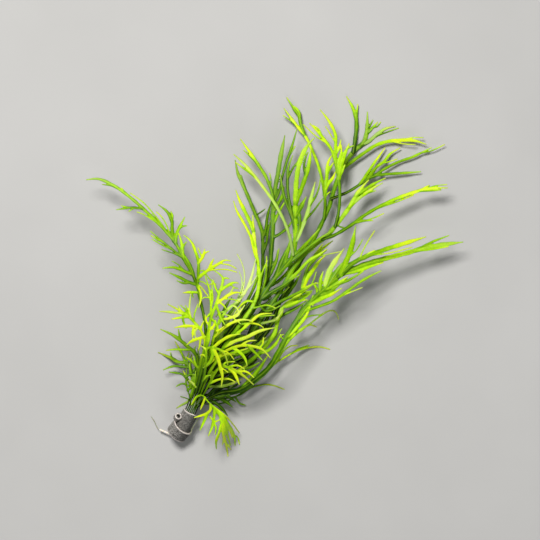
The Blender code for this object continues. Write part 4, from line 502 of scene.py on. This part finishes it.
 1.8: -35.2,-52.4 -29,-49.6 -22,-44.4
 1.7: -38.6,-57.8 -39.4,-50 -37.4,-41.6
 1.6: -28.4,-42.6 -29.2,-35 -27,-28
"""

# Loose parts at the strip: a blanched cut stalk end, and two root hairs as thin as a thread
CUT_STALK = ((-59.6, -97.2, 5.2), (-63.0, -95.6, 4.6), (-66.5, -94.1, 4.0), (-70.0, -92.7, 3.4))
CUT_STALK_RADIUS = 0.6
ROOT_HAIRS = {
    "root_hair_left": ((-70.7, -92.5, 3.3), (-72.2, -89.8, 2.5), (-73.4, -87.4, 1.2),
                       (-75.2, -84.9, 0.3)),
    "root_hair_right": ((-51.2, -95.4, 11.7), (-50.1, -92.4, 12.2), (-48.6, -89.4, 13.2),
                        (-46.9, -86.9, 14.9), (-45.4, -84.8, 16.8)),
}
ROOT_HAIR_RADIUS = 0.2

# Floor, light and camera, in metres
FLOOR_HALF = 3.0
MIDDLE = (0.0, 0.0, 0.02)  # of the bunch, which the lamps point at
LAMPS = {  # place, size, power and colour
    "key": ((-0.28, 0.55, 1.27), 0.42, 22.0, (1.0, 0.985, 0.96)),
    "fill": ((0.45, -0.95, 0.95), 1.0, 5.0, (0.98, 0.99, 1.0)),
}
ROOM_LIGHT = 0.14
CAMERA_PLACE = (-0.0030, 0.0039, 1.8)
SENSOR = 36.0
VIEW_WIDTH = 0.324  # across the picture at the height of that


def read_bunch():
    """The fronds of the bunch, each as its stem with what grows on it."""
    grown = [{"sprays": []}]
    for line in BUNCH.strip().splitlines():
        depth = len(line) - len(line.lstrip())
        head, _, plan = line.rpartition(":")
        words = head.split()
        segment = {
            "width": float(words.pop()) if words else THREAD,
            "name": words.pop(0) if words else None,
            "points": [tuple(map(float, point.split(","))) for point in plan.split()],
            "sprays": [],
        }
        form = ("lift",) if depth else ("row", "column", "level", "lost", "start", "end")
        segment.update(zip((*form, "youth", "shade", "gold"), map(float, words)))
        grown[depth]["sprays"].append(segment)
        grown[depth + 1:] = [segment]
    return grown[0]["sprays"]


def smooth(value, low, high):
    """From 0 at low to 1 at high, flat at both."""
    share = np.clip((value - low) / (high - low), 0.0, 1.0)
    return share * share * (3.0 - 2.0 * share)


def heading_vector(heading, rise=0.0):
    flat = math.cos(rise)
    return Vector((math.cos(heading) * flat, math.sin(heading) * flat, math.sin(rise)))


AHEAD = heading_vector(MOUTH_HEADING)  # the way the stalks leave, in plan
ASIDE = Vector((AHEAD.y, -AHEAD.x, 0.0))  # to the right of it


def from_opening(plant, x, y):
    """Where points of the plan lie from the opening: in x and y, ahead, and whether they lie on
    the plant's stalk before it."""
    dx = x - MOUTH.x
    dy = y - MOUTH.y
    ahead = dx * AHEAD.x + dy * AHEAD.y
    beside = dx * ASIDE.x + dy * ASIDE.y - plant["column"] * STALK_PITCH
    return dx, dy, ahead, (ahead < 0.0) & (np.abs(beside) < STALK_SIDE)


def frond_heights(plant, x, y):
    """Heights of a frond's middle surface above points of the plan."""
    dx, dy, ahead, on_stalk = from_opening(plant, x, y)
    row = MOUTH.z + plant["row"] * STALK_PITCH / math.cos(MOUTH_RISE)
    away = np.hypot(dx, dy)
    leaving = row + math.tan(MOUTH_RISE) * np.clip(ahead, 0.0, 9.0)
    droop = plant["lost"] * smooth(away, plant["start"], plant["end"])
    level = plant["level"] * (1.0 - droop)
    height = leaving + (level - leaving) * smooth(away, 3.0, SPREAD)
    height = np.maximum(height - LEAF_THICKNESS / 2.0, 0.0)
    arch = ARCH * smooth(away, 12.0, 70.0) * (1.0 - smooth(away, 80.0, 165.0))
    waves = WAVES * smooth(away, 25.0, 60.0) * np.sin(away / 13.0 + 4.0 * np.arctan2(dy, dx))
    return np.where(on_stalk, row + ahead * math.tan(MOUTH_RISE),
                    LEAF_THICKNESS / 2.0 + height * (1.0 + arch + waves))


def branch_heights(plant, branch, x, y):
    """The same for a side branch that lies on its frond and rises away from it."""
    height = frond_heights(plant, x, y)
    for root, lift in branch:
        away = np.hypot(x - root[0], y - root[1])
        height = height + PINNA_LIFT + lift * smooth(away, 0.0, 26.0)
    return height


def smooth_line(points, step):
    """Points of a smooth line through the given ones, about one step apart."""
    line = [points[0]]
    ends = [points[0], *points, points[-1]]
    for before, start, end, after in zip(ends, ends[1:], ends[2:], ends[3:]):
        pieces = max(1, round(math.dist(start, end) / step))
        for j in range(1, pieces + 1):
            t = j / pieces
            line.append(tuple(
                0.5 * (2 * b + (c - a) * t + (2 * a - 5 * b + 4 * c - d) * t * t
                       + (3 * b - a - 3 * c + d) * t * t * t)
                for a, b, c, d in zip(before, start, end, after)
            ))
    return line


def strand(segment, plant, chance):
    """One segment, or the stem of a plant: its line, half widths, and what varies along it."""
    line = np.array(smooth_line(segment["points"], LINE_STEP))
    along = np.concatenate(([0.0], np.cumsum(np.hypot(*np.diff(line, axis=0).T))))
    share = along / along[-1]
    swell = 1.0 + 0.07 * np.sin(along * 0.9 + chance.uniform(0.0, 6.0))
    opening = smooth(along[-1] - along, 0.0, min(TIP_LENGTH, 0.45 * along[-1]))
    full = np.maximum(segment["width"] / 2.0 * swell, TAPER)
    half = TAPER + (full - TAPER) * opening ** 0.8
    away = np.hypot(line[:, 0] - MOUTH.x, line[:, 1] - MOUTH.y)
    if plant:
        on_stalk = from_opening(plant, line[:, 0], line[:, 1])[3]
        stalk = STALK_SIDE / 2.0
        half = stalk + (half - stalk) * smooth(np.where(on_stalk, 0.0, away), 7.0, 26.0)
    tilt = chance.uniform(-0.45, 0.45) * (0.35 if plant else 1.0)
    turns = chance.uniform(0.4, 1.1)
    twist = tilt * np.sin(share * 3.1 * turns + chance.uniform(0.0, 6.28))
    curl = chance.uniform(-0.55, 0.35) * smooth(share, 0.3, 1.0)
    if plant:
        curl = curl * 0.3
        twist = twist * smooth(along, 26.0, 50.0)
    stout = (1.0 - smooth(share, 0.2, 0.7)) * (1.0 if plant else 0.3)
    thick = BLADE + (STALK_BLADE - BLADE) * stout
    calm = smooth(away, 6.0, 24.0)
    return {
        "line": line, "half": half, "share": share, "twist": twist * calm, "curl": curl * calm,
        "thick": np.minimum(thick, half * 0.9), "tone": chance.uniform(0.0, 0.8 if plant else 1.0),
        "stem": 1.0 if plant else 0.0,
    }


def gather(segment, plant, chance, strands, named):
    """The strands of a segment and of all that grows on it, but for the named branches."""
    strands.append(strand(segment, plant, chance))
    for child in segment["sprays"]:
        if child["name"]:
            named.append(child)
        else:
            gather(child, None, chance, strands, named)


def grid_box(points, reach, low):
    """First and last rows and columns of the grid within reach of the points."""
    return (np.floor((points.min(axis=0) - reach - low) / CELL).astype(int),
            np.ceil((points.max(axis=0) + reach - low) / CELL).astype(int) + 1)


def leaf_field(strands):
    """Signed distance to the leaf's outline on a grid, and what varies over the leaf."""
    every = np.concatenate([s["line"] for s in strands])
    low = every.min(axis=0) - MARGIN
    shape = grid_box(every, MARGIN, low)[1]
    outline = np.full(shape, NOWHERE)
    weight = np.zeros(shape)
    along = ("half", "share", "twist", "curl", "thick")
    sums = {name: np.zeros(shape) for name in ("across", *along, "tone", "stem")}
    for s in strands:
        first, last = grid_box(s["line"], STRAND_REACH, low)
        first = np.maximum(first, 0)
        last = np.minimum(last, shape)
        near = np.full(last - first, NOWHERE)
        got = {name: np.zeros(last - first) for name in ("across", *along)}
        for i, (a, b) in enumerate(zip(s["line"], s["line"][1:])):
            reach = max(s["half"][i], s["half"][i + 1]) + EDGE_REACH
            lo, hi = grid_box(np.stack([a, b]), reach, low)
            lo = np.maximum(lo, first)
            hi = np.minimum(hi, last)
            xs = low[0] + np.arange(lo[0], hi[0])[:, None] * CELL
            ys = low[1] + np.arange(lo[1], hi[1])[None, :] * CELL
            ab = b - a
            length = math.hypot(*ab)
            t = np.clip(((xs - a[0]) * ab[0] + (ys - a[1]) * ab[1]) / length ** 2, 0.0, 1.0)
            dx = xs - (a[0] + ab[0] * t)
            dy = ys - (a[1] + ab[1] * t)
            values = {name: s[name][i] + (s[name][i + 1] - s[name][i]) * t for name in along}
            values["across"] = (ab[0] * dy - ab[1] * dx) / length
            window = tuple(slice(p, q) for p, q in zip(lo - first, hi - first))
            away = np.hypot(dx, dy) - values["half"]
            closer = away < near[window]
            near[window] = np.where(closer, away, near[window])
            for name, value in values.items():
                got[name][window] = np.where(closer, value, got[name][window])
        here = tuple(slice(p, q) for p, q in zip(first, last))
        blend = np.clip(0.5 + 0.5 * (outline[here] - near) / WEB, 0.0, 1.0)
        outline[here] = (outline[here] * (1.0 - blend) + near * blend
                         - WEB * blend * (1.0 - blend) * 0.8)
        pull = np.exp(-np.clip(near, -1.2, 3.0) / PULL) * (near < NOWHERE - 1.0)
        weight[here] += pull
        for name, total in sums.items():
            total[here] += pull * (got[name] if name in got else s[name])
    for total in sums.values():
        total /= np.maximum(weight, 1e-9)
    return low, outline, sums


def add_item(name, data):
    item = bpy.data.objects.new(name, data)
    bpy.context.scene.collection.objects.link(item)
    return item


def place(item, node, surface):
    """Makes an object the visible form of a node."""
    item.data.materials.append(surface)
    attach(item, "root")
    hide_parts(node)


def add_leaf(segment, strands, heights, surface):
    """A leaf with a rounded section, narrow tips and webbed forks, as one closed surface."""
    low, outline, field = leaf_field(strands)
    inside = outline < 0.0
    cells = inside[:-1, :-1] | inside[1:, :-1] | inside[:-1, 1:] | inside[1:, 1:]
    cx, cy = np.nonzero(cells)
    corners = [(cx, cy), (cx + 1, cy), (cx + 1, cy + 1), (cx, cy + 1)]
    used = np.zeros(outline.shape, bool)
    for corner in corners:
        used[corner] = True
    points = np.nonzero(used)
    count = len(points[0])
    number = np.full(outline.shape, -1)
    number[points] = np.arange(count)
    slope_x, slope_y = (slope[points] for slope in np.gradient(outline, CELL))
    steep = np.maximum(np.hypot(slope_x, slope_y), LEAST_SLOPE)
    distance = outline[points]
    out = np.maximum(distance, 0.0) / steep ** 2
    x = low[0] + points[0] * CELL - out * slope_x
    y = low[1] + points[1] * CELL - out * slope_y
    value = {key: grid[points] for key, grid in field.items()}
    half = np.maximum(value["half"], 0.1)
    depth = np.clip(-distance / half, 0.0, 1.0)
    thick = value["thick"] * np.sqrt(1.0 - (1.0 - depth) ** 2)
    middle = heights(x, y) + value["across"] * value["twist"] + value["curl"]
    ridge = RIDGE * np.exp(-(value["across"] / RIDGE_REACH) ** 2) * (1.0 - value["stem"])
    # The two sides share the points of the edge
    solid = inside[points]
    bottom = np.where(solid, count + np.cumsum(solid) - 1, np.arange(count))
    coords = np.concatenate([
        np.stack([x, y, middle + np.where(solid, thick + ridge, 0.0)], axis=1),
        np.stack([x, y, middle - thick], axis=1)[solid],
    ])
    coords[:, 2] = np.maximum(coords[:, 2], LOWEST)
    top = np.stack([number[corner] for corner in corners], axis=1)
    faces = np.concatenate([top, bottom[top][:, ::-1]])
    name = segment["name"]
    mesh = bpy.data.meshes.new("leaf_" + name)
    mesh.from_pydata(coords * MM, [], faces)
    value["across"] /= half
    for key in ("across", "share", "tone", "stem", "youth", "shade", "gold"):
        amounts = value[key] if key in value else np.full(count, segment[key])
        layer = mesh.attributes.new(key, "FLOAT", "POINT")
        layer.data.foreach_set("value", np.concatenate([amounts, amounts[solid]]))
    mesh.shade_smooth()
    place(add_item("leaf_" + name, mesh), name, surface)


def add_frond(plant, surface, chance):
    """A frond, whose stem starts with its stalk in the strip, and its side branches."""
    column = ASIDE * plant["column"] * STALK_PITCH
    points = [MOUTH + column + AHEAD * CUT_END * math.cos(MOUTH_RISE), MOUTH + column,
              MOUTH + column * 1.15 + AHEAD * 5.0]
    if abs(plant["column"]) < 2:
        points.append(MOUTH + column * 1.35 + AHEAD * 9.5)
    far = [p for p in plant["points"] if math.dist(p, MOUTH.xy) > MOUTH_REACH]
    near = [p for p in plant["points"] if p not in far]
    kept = plant["row"] == 3 or not far
    plant["points"] = [p.xy[:] for p in points] + (near[1:] if kept else []) + far
    add_segment(plant, plant, [], surface, chance)


def add_segment(plant, segment, branch, surface, chance):
    """A stem, or a side branch that the branch leads to, with all that grows on it."""
    strands = []
    named = []
    gather(segment, None if branch else plant, chance, strands, named)
    if branch:
        strands[0]["stem"] = BRANCH_STEM
    add_leaf(segment, strands, lambda x, y: branch_heights(plant, branch, x, y), surface)
    for child in named:
        lifts = branch + [(child["points"][0], child["lift"])]
        add_segment(plant, child, lifts, surface, chance)


# Materials


def rgba(colour):
    """A colour with its alpha, from three numbers or from one for grey."""
    return (*colour, 1.0) if isinstance(colour, tuple) else (colour, colour, colour, 1.0)


class Surface:
    """A material under construction. Its calls add a shader node and give its output."""

    def __init__(self, name):
        self.material = bpy.data.materials.new(name)
        self.material.use_nodes = True
        self.tree = self.material.node_tree
        self.tree.nodes.clear()
        self.where = self.tree.nodes.new("ShaderNodeTexCoord").outputs["Object"]

    def add(self, kind, inputs, **settings):
        """Adds any node, with numbers or other nodes' outputs as inputs, and gives the node."""
        item = self.tree.nodes.new("ShaderNode" + kind)
        for key, value in settings.items():
            setattr(item, key, value)
        for key, value in inputs.items():
            if isinstance(value, bpy.types.NodeSocket):
                self.tree.links.new(value, item.inputs[key])
            else:
                item.inputs[key].default_value = value
        return item

    def bump(self, height, strength, distance):
        inputs = {"Height": height, "Strength": strength, "Distance": distance}
        return self.add("Bump", inputs).outputs[0]

    def skin(self, colour, roughness, inputs):
        inputs = {"Base Color": colour, "Roughness": roughness, **inputs}
        return self.add("BsdfPrincipled", inputs).outputs[0]

    def attribute(self, name):
        return self.add("Attribute", {}, attribute_name=name).outputs["Fac"]

    def maths(self, operation, a, b=0.0, c=0.0):
        return self.add("Math", {0: a, 1: b, 2: c}, operation=operation).outputs[0]

    def vector(self, operation, b):
        return self.add("VectorMath", {0: self.where, 1: b}, operation=operation).outputs[1]

    def noise(self, scale, detail=3.0, roughness=0.55):
        inputs = {"Vector": self.where, "Scale": scale, "Detail": detail, "Roughness": roughness}
        return self.add("TexNoise", inputs).outputs["Fac"]

    def mix(self, share, a, b, blend="MIX"):
        a, b = (c if isinstance(c, bpy.types.NodeSocket) else rgba(c) for c in (a, b))
        item = self.add("Mix", {0: share, 6: a, 7: b},
                        data_type="RGBA", blend_type=blend, clamp_factor=True)
        return item.outputs[2]

    def times(self, a, b):
        return self.mix(1.0, a, b, "MULTIPLY")

    def ramp(self, value, *stops):
        item = self.add("ValToRGB", {0: value})
        elements = item.color_ramp.elements
        while len(elements) < len(stops):
            elements.new(0.5)
        for element, (position, colour) in zip(elements, stops):
            element.position = position
            element.color = rgba(colour)
        return item.outputs[0]

    def finish(self, shader):
        self.add("OutputMaterial", {0: shader})
        return self.material

    def sway(self, value, by, amount):
        """The value, raised and lowered with another one's distance from one half."""
        return self.maths("MULTIPLY_ADD", self.maths("SUBTRACT", by, 0.5), amount, value)

    def rest(self, value):
        return self.maths("SUBTRACT", 1.0, value)


def leaf_material():
    """Thin wet leaf: deep green to yellow green, paler at the tips and along the midrib."""
    s = Surface("water sprite leaf")
    share = s.attribute("share")
    youth = s.attribute("youth")
    stem = s.attribute("stem")
    tone = s.attribute("tone")
    white_blade = s.maths("SUBTRACT", youth, 1.0)
    from_mouth = s.maths("MULTIPLY", s.vector("DISTANCE", MOUTH * MM), 10.0)  # decimetres
    patches = s.noise(320.0, 4.0)
    grain = s.noise(2600.0)
    # How yellow: the frond's own youth, its segment's tone, its tip, and soft patches
    lime = s.sway(s.maths("MINIMUM", youth, 1.0), tone, 0.42)
    lime = s.sway(lime, s.noise(45.0, 2.0), 0.55)
    lime = s.sway(lime, patches, 0.28)
    lime = s.maths("MULTIPLY_ADD", s.maths("POWER", share, 2.5), s.attribute("gold"), lime)
    base = s.maths("MULTIPLY", stem, s.maths("POWER", s.rest(share), 2.0))
    lime = s.maths("MULTIPLY_ADD", base, -0.72, lime)
    colour = s.ramp(lime, (0.0, (0.011, 0.042, 0.001)), (0.25, (0.042, 0.142, 0.001)),
                    (0.5, (0.122, 0.325, 0.001)), (0.72, (0.285, 0.585, 0.002)),
                    (0.9, (0.520, 0.900, 0.005)), (1.0, (0.780, 0.985, 0.014)))
    # A pale midrib, a darker rim and fine cell rows
    rib = s.maths("ABSOLUTE", s.attribute("across"))
    midrib = s.ramp(rib, (0.0, 0.30), (0.12, 0.22), (0.26, 0.0))
    colour = s.mix(midrib, colour, (0.62, 0.86, 0.03))
    colour = s.times(colour, s.ramp(rib, (0.66, 1.0), (1.0, 0.55)))
    colour = s.times(colour, s.ramp(grain, (0.35, 0.80), (0.65, 1.12)))
    # Some thin segments are paler, partly for their pale backs and partly as painted sheen,
    # and one frond is nearly white on its far half
    colour = s.mix(s.ramp(tone, (0.86, 0.0), (0.93, 0.5)), colour, (0.50, 0.66, 0.20))
    pale = s.maths("MULTIPLY", s.ramp(from_mouth, (0.66, 0.0), (0.86, 0.62)),
                   s.ramp(white_blade, (0.2, 0.0), (0.3, 1.0)))
    colour = s.mix(pale, colour, (0.72, 0.88, 0.40))
    # Tips fade, and there are a few brown specks
    tips = s.maths("MULTIPLY", s.maths("POWER", share, 9.0), 0.35)
    colour = s.mix(tips, colour, (0.50, 0.60, 0.16))
    specks = s.ramp(s.noise(900.0, 2.0), (0.735, 0.0), (0.77, 0.65))
    colour = s.mix(specks, colour, (0.060, 0.045, 0.010))
    # Painted shade: what lies deep in the bunch is darkened, and so are the stems towards the
    # strip, but for the young leaves in front and the frond that hangs over the opening
    # near: painted shade, strongest close to the opening
    near = s.ramp(from_mouth, (0.08, 0.80), (0.35, 0.52), (0.62, 0.14), (0.98, 0.0))
    front = s.maths("MULTIPLY", s.rest(stem),
                    s.ramp(youth, (0.47, 0.0), (0.58, 0.5), (0.84, 0.5), (0.94, 1.0)))
    over = s.maths("MULTIPLY", s.ramp(from_mouth, (0.09, 0.0), (0.18, 1.0)),
                   s.ramp(white_blade, (0.02, 0.0), (0.03, 1.0), (0.15, 1.0), (0.2, 0.0)))
    near = s.maths("MULTIPLY", near, s.rest(s.maths("MAXIMUM", front, over)))
    # Painted shade: the larger of that and the frond's own shade
    painted_shade = s.maths("MAXIMUM", near, s.attribute("shade"))
    colour = s.mix(painted_shade, colour, s.times(colour, (0.10, 0.17, 0.12)))
    bumps = s.maths("ADD", s.maths("MULTIPLY", grain, 0.35), s.maths("MULTIPLY", patches, 0.8))
    normal = s.bump(bumps, 0.35, 0.00018)
    skin = s.skin(colour, s.ramp(patches, (0.3, 0.30), (0.7, 0.50)), {
        "Normal": normal, "Subsurface Weight": 0.12, "Subsurface Radius": (0.3, 0.8, 0.1),
        "Subsurface Scale": 0.001, "Specular IOR Level": 0.10})
    through = s.add("BsdfTranslucent", {"Color": colour, "Normal": normal}).outputs[0]
    return s.finish(s.add("MixShader", {0: 0.13, 1: skin, 2: through}).outputs[0])


def metal_material():
    """Dull soft grey metal, pressed and scratched, with bright cut edges."""
    s = Surface("soft grey metal")
    edge = s.attribute("edge")
    dents = s.noise(420.0, 4.0, 0.6)
    grain = s.noise(2400.0, 4.0, 0.7)
    pressed = s.add("TexVoronoi", {"Scale": 900.0, "Vector": s.where}).outputs["Distance"]
    colour = s.ramp(dents, (0.3, (0.14, 0.134, 0.122)), (0.7, (0.38, 0.364, 0.334)))
    colour = s.times(colour, s.ramp(grain, (0.38, 0.35), (0.60, 1.40)))
    dust = s.ramp(s.noise(1500.0, 3.0, 0.7), (0.54, 0.0), (0.60, 0.7))
    colour = s.mix(dust, colour, (0.70, 0.68, 0.63))
    # Painted shade: darker towards the right and low down, and darker still inside the roll
    across = s.vector("DOT_PRODUCT", (0.86, -0.51, 0.0))
    uneven = s.maths("MULTIPLY_ADD", dents, 0.004, across)
    # Painted shade on the right and lower side of the strip
    painted_shade_right = s.ramp(s.maths("MULTIPLY", s.maths("ADD", uneven, 0.012), 50.0),
                     (0.40, 0.0), (0.82, 0.92))
    # Painted shade in the bore of the roll, where the edge values are below 0
    painted_bore_shade = s.maths("MULTIPLY", s.maths("MINIMUM", edge, 0.0), -0.93)
    colour = s.mix(s.maths("MAXIMUM", painted_shade_right, painted_bore_shade), colour, s.times(colour, 0.16))
    rim = s.ramp(grain, (0.35, (0.56, 0.50, 0.47)), (0.60, (0.92, 0.83, 0.78)))
    colour = s.mix(s.maths("MAXIMUM", edge, 0.0), colour, rim)
    height = s.maths("ADD", s.maths("MULTIPLY", pressed, 0.9),
                     s.maths("ADD", dents, s.maths("MULTIPLY", grain, 0.4)))
    rough = s.ramp(grain, (0.3, 0.38), (0.7, 0.68))
    return s.finish(s.skin(colour, rough, {"Metallic": 0.45,
                                           "Normal": s.bump(height, 0.70, 0.00040)}))


def pale_material(name, light, dark, roughness):
    """A blanched stalk or a root hair, with a little mottling along it."""
    s = Surface(name)
    fine = s.noise(3200.0)
    colour = s.ramp(s.noise(700.0, 4.0), (0.3, dark), (0.62, light))
    rough = s.ramp(fine, (0.3, roughness - 0.1), (0.7, roughness + 0.1))
    return s.finish(s.skin(colour, rough, {
        "Normal": s.bump(fine, 0.3, 0.0001), "Subsurface Weight": 0.2,
        "Subsurface Scale": 0.001}))


def floor_material():
    s = Surface("pale floor")
    colour = s.ramp(s.noise(9.0), (0.3, (0.44, 0.438, 0.430)), (0.7, (0.47, 0.468, 0.460)))
    return s.finish(s.skin(colour, 0.75, {}))


# The metal strip, the cut stalk and the root hairs


def side_and_lift(axis):
    """Two directions square to an axis: level, and as near upright as can be."""
    side = axis.cross(Vector((0.0, 0.0, 1.0))).normalized()
    return side, side.cross(axis)


def add_ring(mesh, points):
    """Vertices at points in mm, each with its share of bright edge, or below 0 of painted shade in
    the bore.
    """
    edge_layer = mesh.verts.layers.float["edge"]
    ring = []
    for point, edge in points:
        vertex = mesh.verts.new(point * MM)
        vertex[edge_layer] = edge
        ring.append(vertex)
    return ring


def join_rings(mesh, rings):
    for a, b in zip(rings, rings[1:]):
        for i in range(len(a)):
            mesh.faces.new((a[i - 1], a[i], b[i], b[i - 1]))


def strip_frame(turn):
    """Centre, axis and radius of the strip's upper edge at a turn, counted from the neck, and
    the strip's width there."""
    share = float(smooth(turn, 0.3, 1.15))
    collar = heading_vector(COLLAR_HEADING, COLLAR_RISE)
    neck = heading_vector(MOUTH_HEADING, MOUTH_RISE)
    axis = neck.lerp(collar, share).normalized()
    centre = MOUTH.lerp(COLLAR_TOP, share)
    width = NECK_WIDTH + (STRIP_WIDTH - NECK_WIDTH) * share
    return centre, axis, NECK_RADIUS + RADIUS_PER_TURN * turn, width


def strip_section():
    """The band's section: offset from its middle, depth below its edge, share of bright edge."""
    half = STRIP_THICKNESS / 2.0
    corner = []
    for k in range(5):
        angle = math.radians(22.5 * k)
        corner.append((half - STRIP_ROUNDING * (1.0 - math.sin(angle)),
                       STRIP_ROUNDING * (1.0 - math.cos(angle)), 1.0))
    corner += [(half, 0.55, 0.75), (half, 0.80, 0.0)]
    rows = 14
    down = [(half, 0.8 + (STRIP_WIDTH - 1.6) * k / rows, 0.0) for k in range(1, rows)]
    outside = corner + down + [(a, STRIP_WIDTH - b, e * 0.6) for a, b, e in reversed(corner)]
    return outside + [(-a, b, e) for a, b, e in reversed(outside)]


def add_strip(surface):
    """The wound strip: a rounded flat band, a little wavy along its edges."""
    mesh = bmesh.new()
    mesh.verts.layers.float.new("edge")
    section = strip_section()
    steps = round(STRIP_TURNS * STEPS_PER_TURN)
    rings = []
    for i in range(steps + 1):
        turn = STRIP_TURNS * i / steps
        centre, axis, radius, width = strip_frame(turn)
        side, lift = side_and_lift(axis)
        angle = math.pi - 2.0 * math.pi * turn
        outward = side * math.cos(angle) + lift * math.sin(angle)
        wave = 0.05 * math.sin(turn * 23.0) + 0.04 * math.sin(turn * 57.0 + 1.0)
        ring = []
        for a, b, edge in section:
            stretch = min(1.0, max(0.0, b - 1.0) / (STRIP_WIDTH - 2.0))
            depth = b + (width - STRIP_WIDTH) * stretch
            ring.append((centre + outward * (radius + a + wave * 0.6) - axis * (depth - wave),
                         edge))
        rings.append(add_ring(mesh, ring))
    join_rings(mesh, rings)
    mesh.faces.new(rings[0])
    mesh.faces.new(reversed(rings[-1]))
    add_curl(mesh)
    bmesh.ops.recalc_face_normals(mesh, faces=mesh.faces)
    data = bpy.data.meshes.new("wound_strip")
    mesh.to_mesh(data)
    mesh.free()
    data.shade_smooth()
    data.set_sharp_from_angle(angle=math.radians(55.0))
    place(add_item("wound_strip", data), "weight_strip", surface)


def add_curl(mesh):
    """The rolled end, as a short tube with rounded rims."""
    axis = heading_vector(COLLAR_HEADING, CURL_RISE)
    side, lift = side_and_lift(axis)
    middle = (CURL_RADIUS + CURL_BORE) / 2.0
    wall = (CURL_RADIUS - CURL_BORE) / 2.0
    top = []
    foot = []
    # Rim values: bright edge above 0, painted shade towards the bore below 0
    for k, edge in enumerate((0.5, 0.9, 0.8, 0.3, -0.5)):
        angle = math.pi * k / 4.0
        bulge = wall * 0.45 * math.sin(angle)
        top.append((middle + wall * math.cos(angle), bulge - 0.2, edge))
        foot.append((middle - wall * math.cos(angle), 0.3 - CURL_LENGTH - bulge, 0.6))
    steps = [(CURL_LENGTH - 0.3) * k / 6.0 for k in range(1, 6)]
    # Inside the bore: values below 0, for painted shade
    inside = [(middle - wall, -0.2 - step, -1.0) for step in steps]
    outside = [(middle + wall, 0.2 - CURL_LENGTH + step, 0.0) for step in steps]
    rings = []
    for i in range(CURL_STEPS):
        angle = 2.0 * math.pi * i / CURL_STEPS
        outward = side * math.cos(angle) + lift * math.sin(angle)
        rings.append(add_ring(mesh, [(CURL_CENTRE + outward * radius + axis * along, edge)
                                     for radius, along, edge in top + inside + foot + outside]))
    join_rings(mesh, rings + rings[:1])


def add_rod(name, node_name, points, radius, surface):
    """A round rod through the points with rounded ends, a little uneven."""
    line = smooth_line(points, 0.5)
    curve = bpy.data.curves.new(name, "CURVE")
    curve.dimensions = "3D"
    curve.bevel_depth = radius * MM
    curve.bevel_resolution = 4
    curve.use_fill_caps = True
    spline = curve.splines.new("POLY")
    spline.points.add(len(line) - 1)
    for i, (point, knot) in enumerate(zip(line, spline.points)):
        knot.co = (*(c * MM for c in point), 1.0)
        end = min(i, len(line) - 1 - i) / 2.0
        knot.radius = math.sqrt(1.0 - max(0.0, 1.0 - end) ** 2 * 0.8) + 0.03 * math.sin(i * 1.7)
    place(add_item(name, curve), node_name, surface)


# Floor, light and camera


def add_stage():
    mesh = bpy.data.meshes.new("floor")
    a = FLOOR_HALF
    mesh.from_pydata([(-a, -a, 0), (a, -a, 0), (a, a, 0), (-a, a, 0)], [], [(0, 1, 2, 3)])
    mesh.materials.append(floor_material())
    floor = add_item("floor", mesh)


def add_light(name, spot, size, power, colour):
    data = bpy.data.lights.new(name, "AREA")
    data.shape = "DISK"
    data.size = size
    data.energy = power
    data.color = colour
    item = add_item(name, data)
    item.location = spot
    way = Vector(MIDDLE) - Vector(spot)
    item.rotation_euler = way.to_track_quat("-Z", "Y").to_euler()


def add_world():
    world = bpy.data.worlds.new("soft room")
    world.use_nodes = True
    background = world.node_tree.nodes["Background"]
    background.inputs[0].default_value = rgba(1.0)
    background.inputs[1].default_value = ROOM_LIGHT
    bpy.context.scene.world = world
    bpy.context.scene.view_settings.view_transform = "Standard"


def add_camera():
    data = bpy.data.cameras.new("camera")
    data.sensor_width = SENSOR
    data.lens = SENSOR * (CAMERA_PLACE[2] - MIDDLE[2]) / VIEW_WIDTH
    data.clip_end = 20.0
    item = add_item("camera", data)
    item.location = CAMERA_PLACE
    bpy.context.scene.camera = item


def main():
    chance = np.random.default_rng(SEED)
    leaf = leaf_material()
    for plant in read_bunch():
        add_frond(plant, leaf, chance)
    add_strip(metal_material())
    pale = pale_material("blanched stalk", (0.86, 0.84, 0.74), (0.66, 0.63, 0.48), 0.4)
    add_rod("blanched_stalk_end", "cut_stalk", CUT_STALK, CUT_STALK_RADIUS, pale)
    hair = pale_material("root hair", (0.34, 0.36, 0.20), (0.16, 0.17, 0.07), 0.55)
    for name, points in ROOT_HAIRS.items():
        add_rod("fine_" + name, name, points, ROOT_HAIR_RADIUS, hair)
    add_stage()
    for name, lamp in LAMPS.items():
        add_light(name, *lamp)
    add_world()
    add_camera()


main()
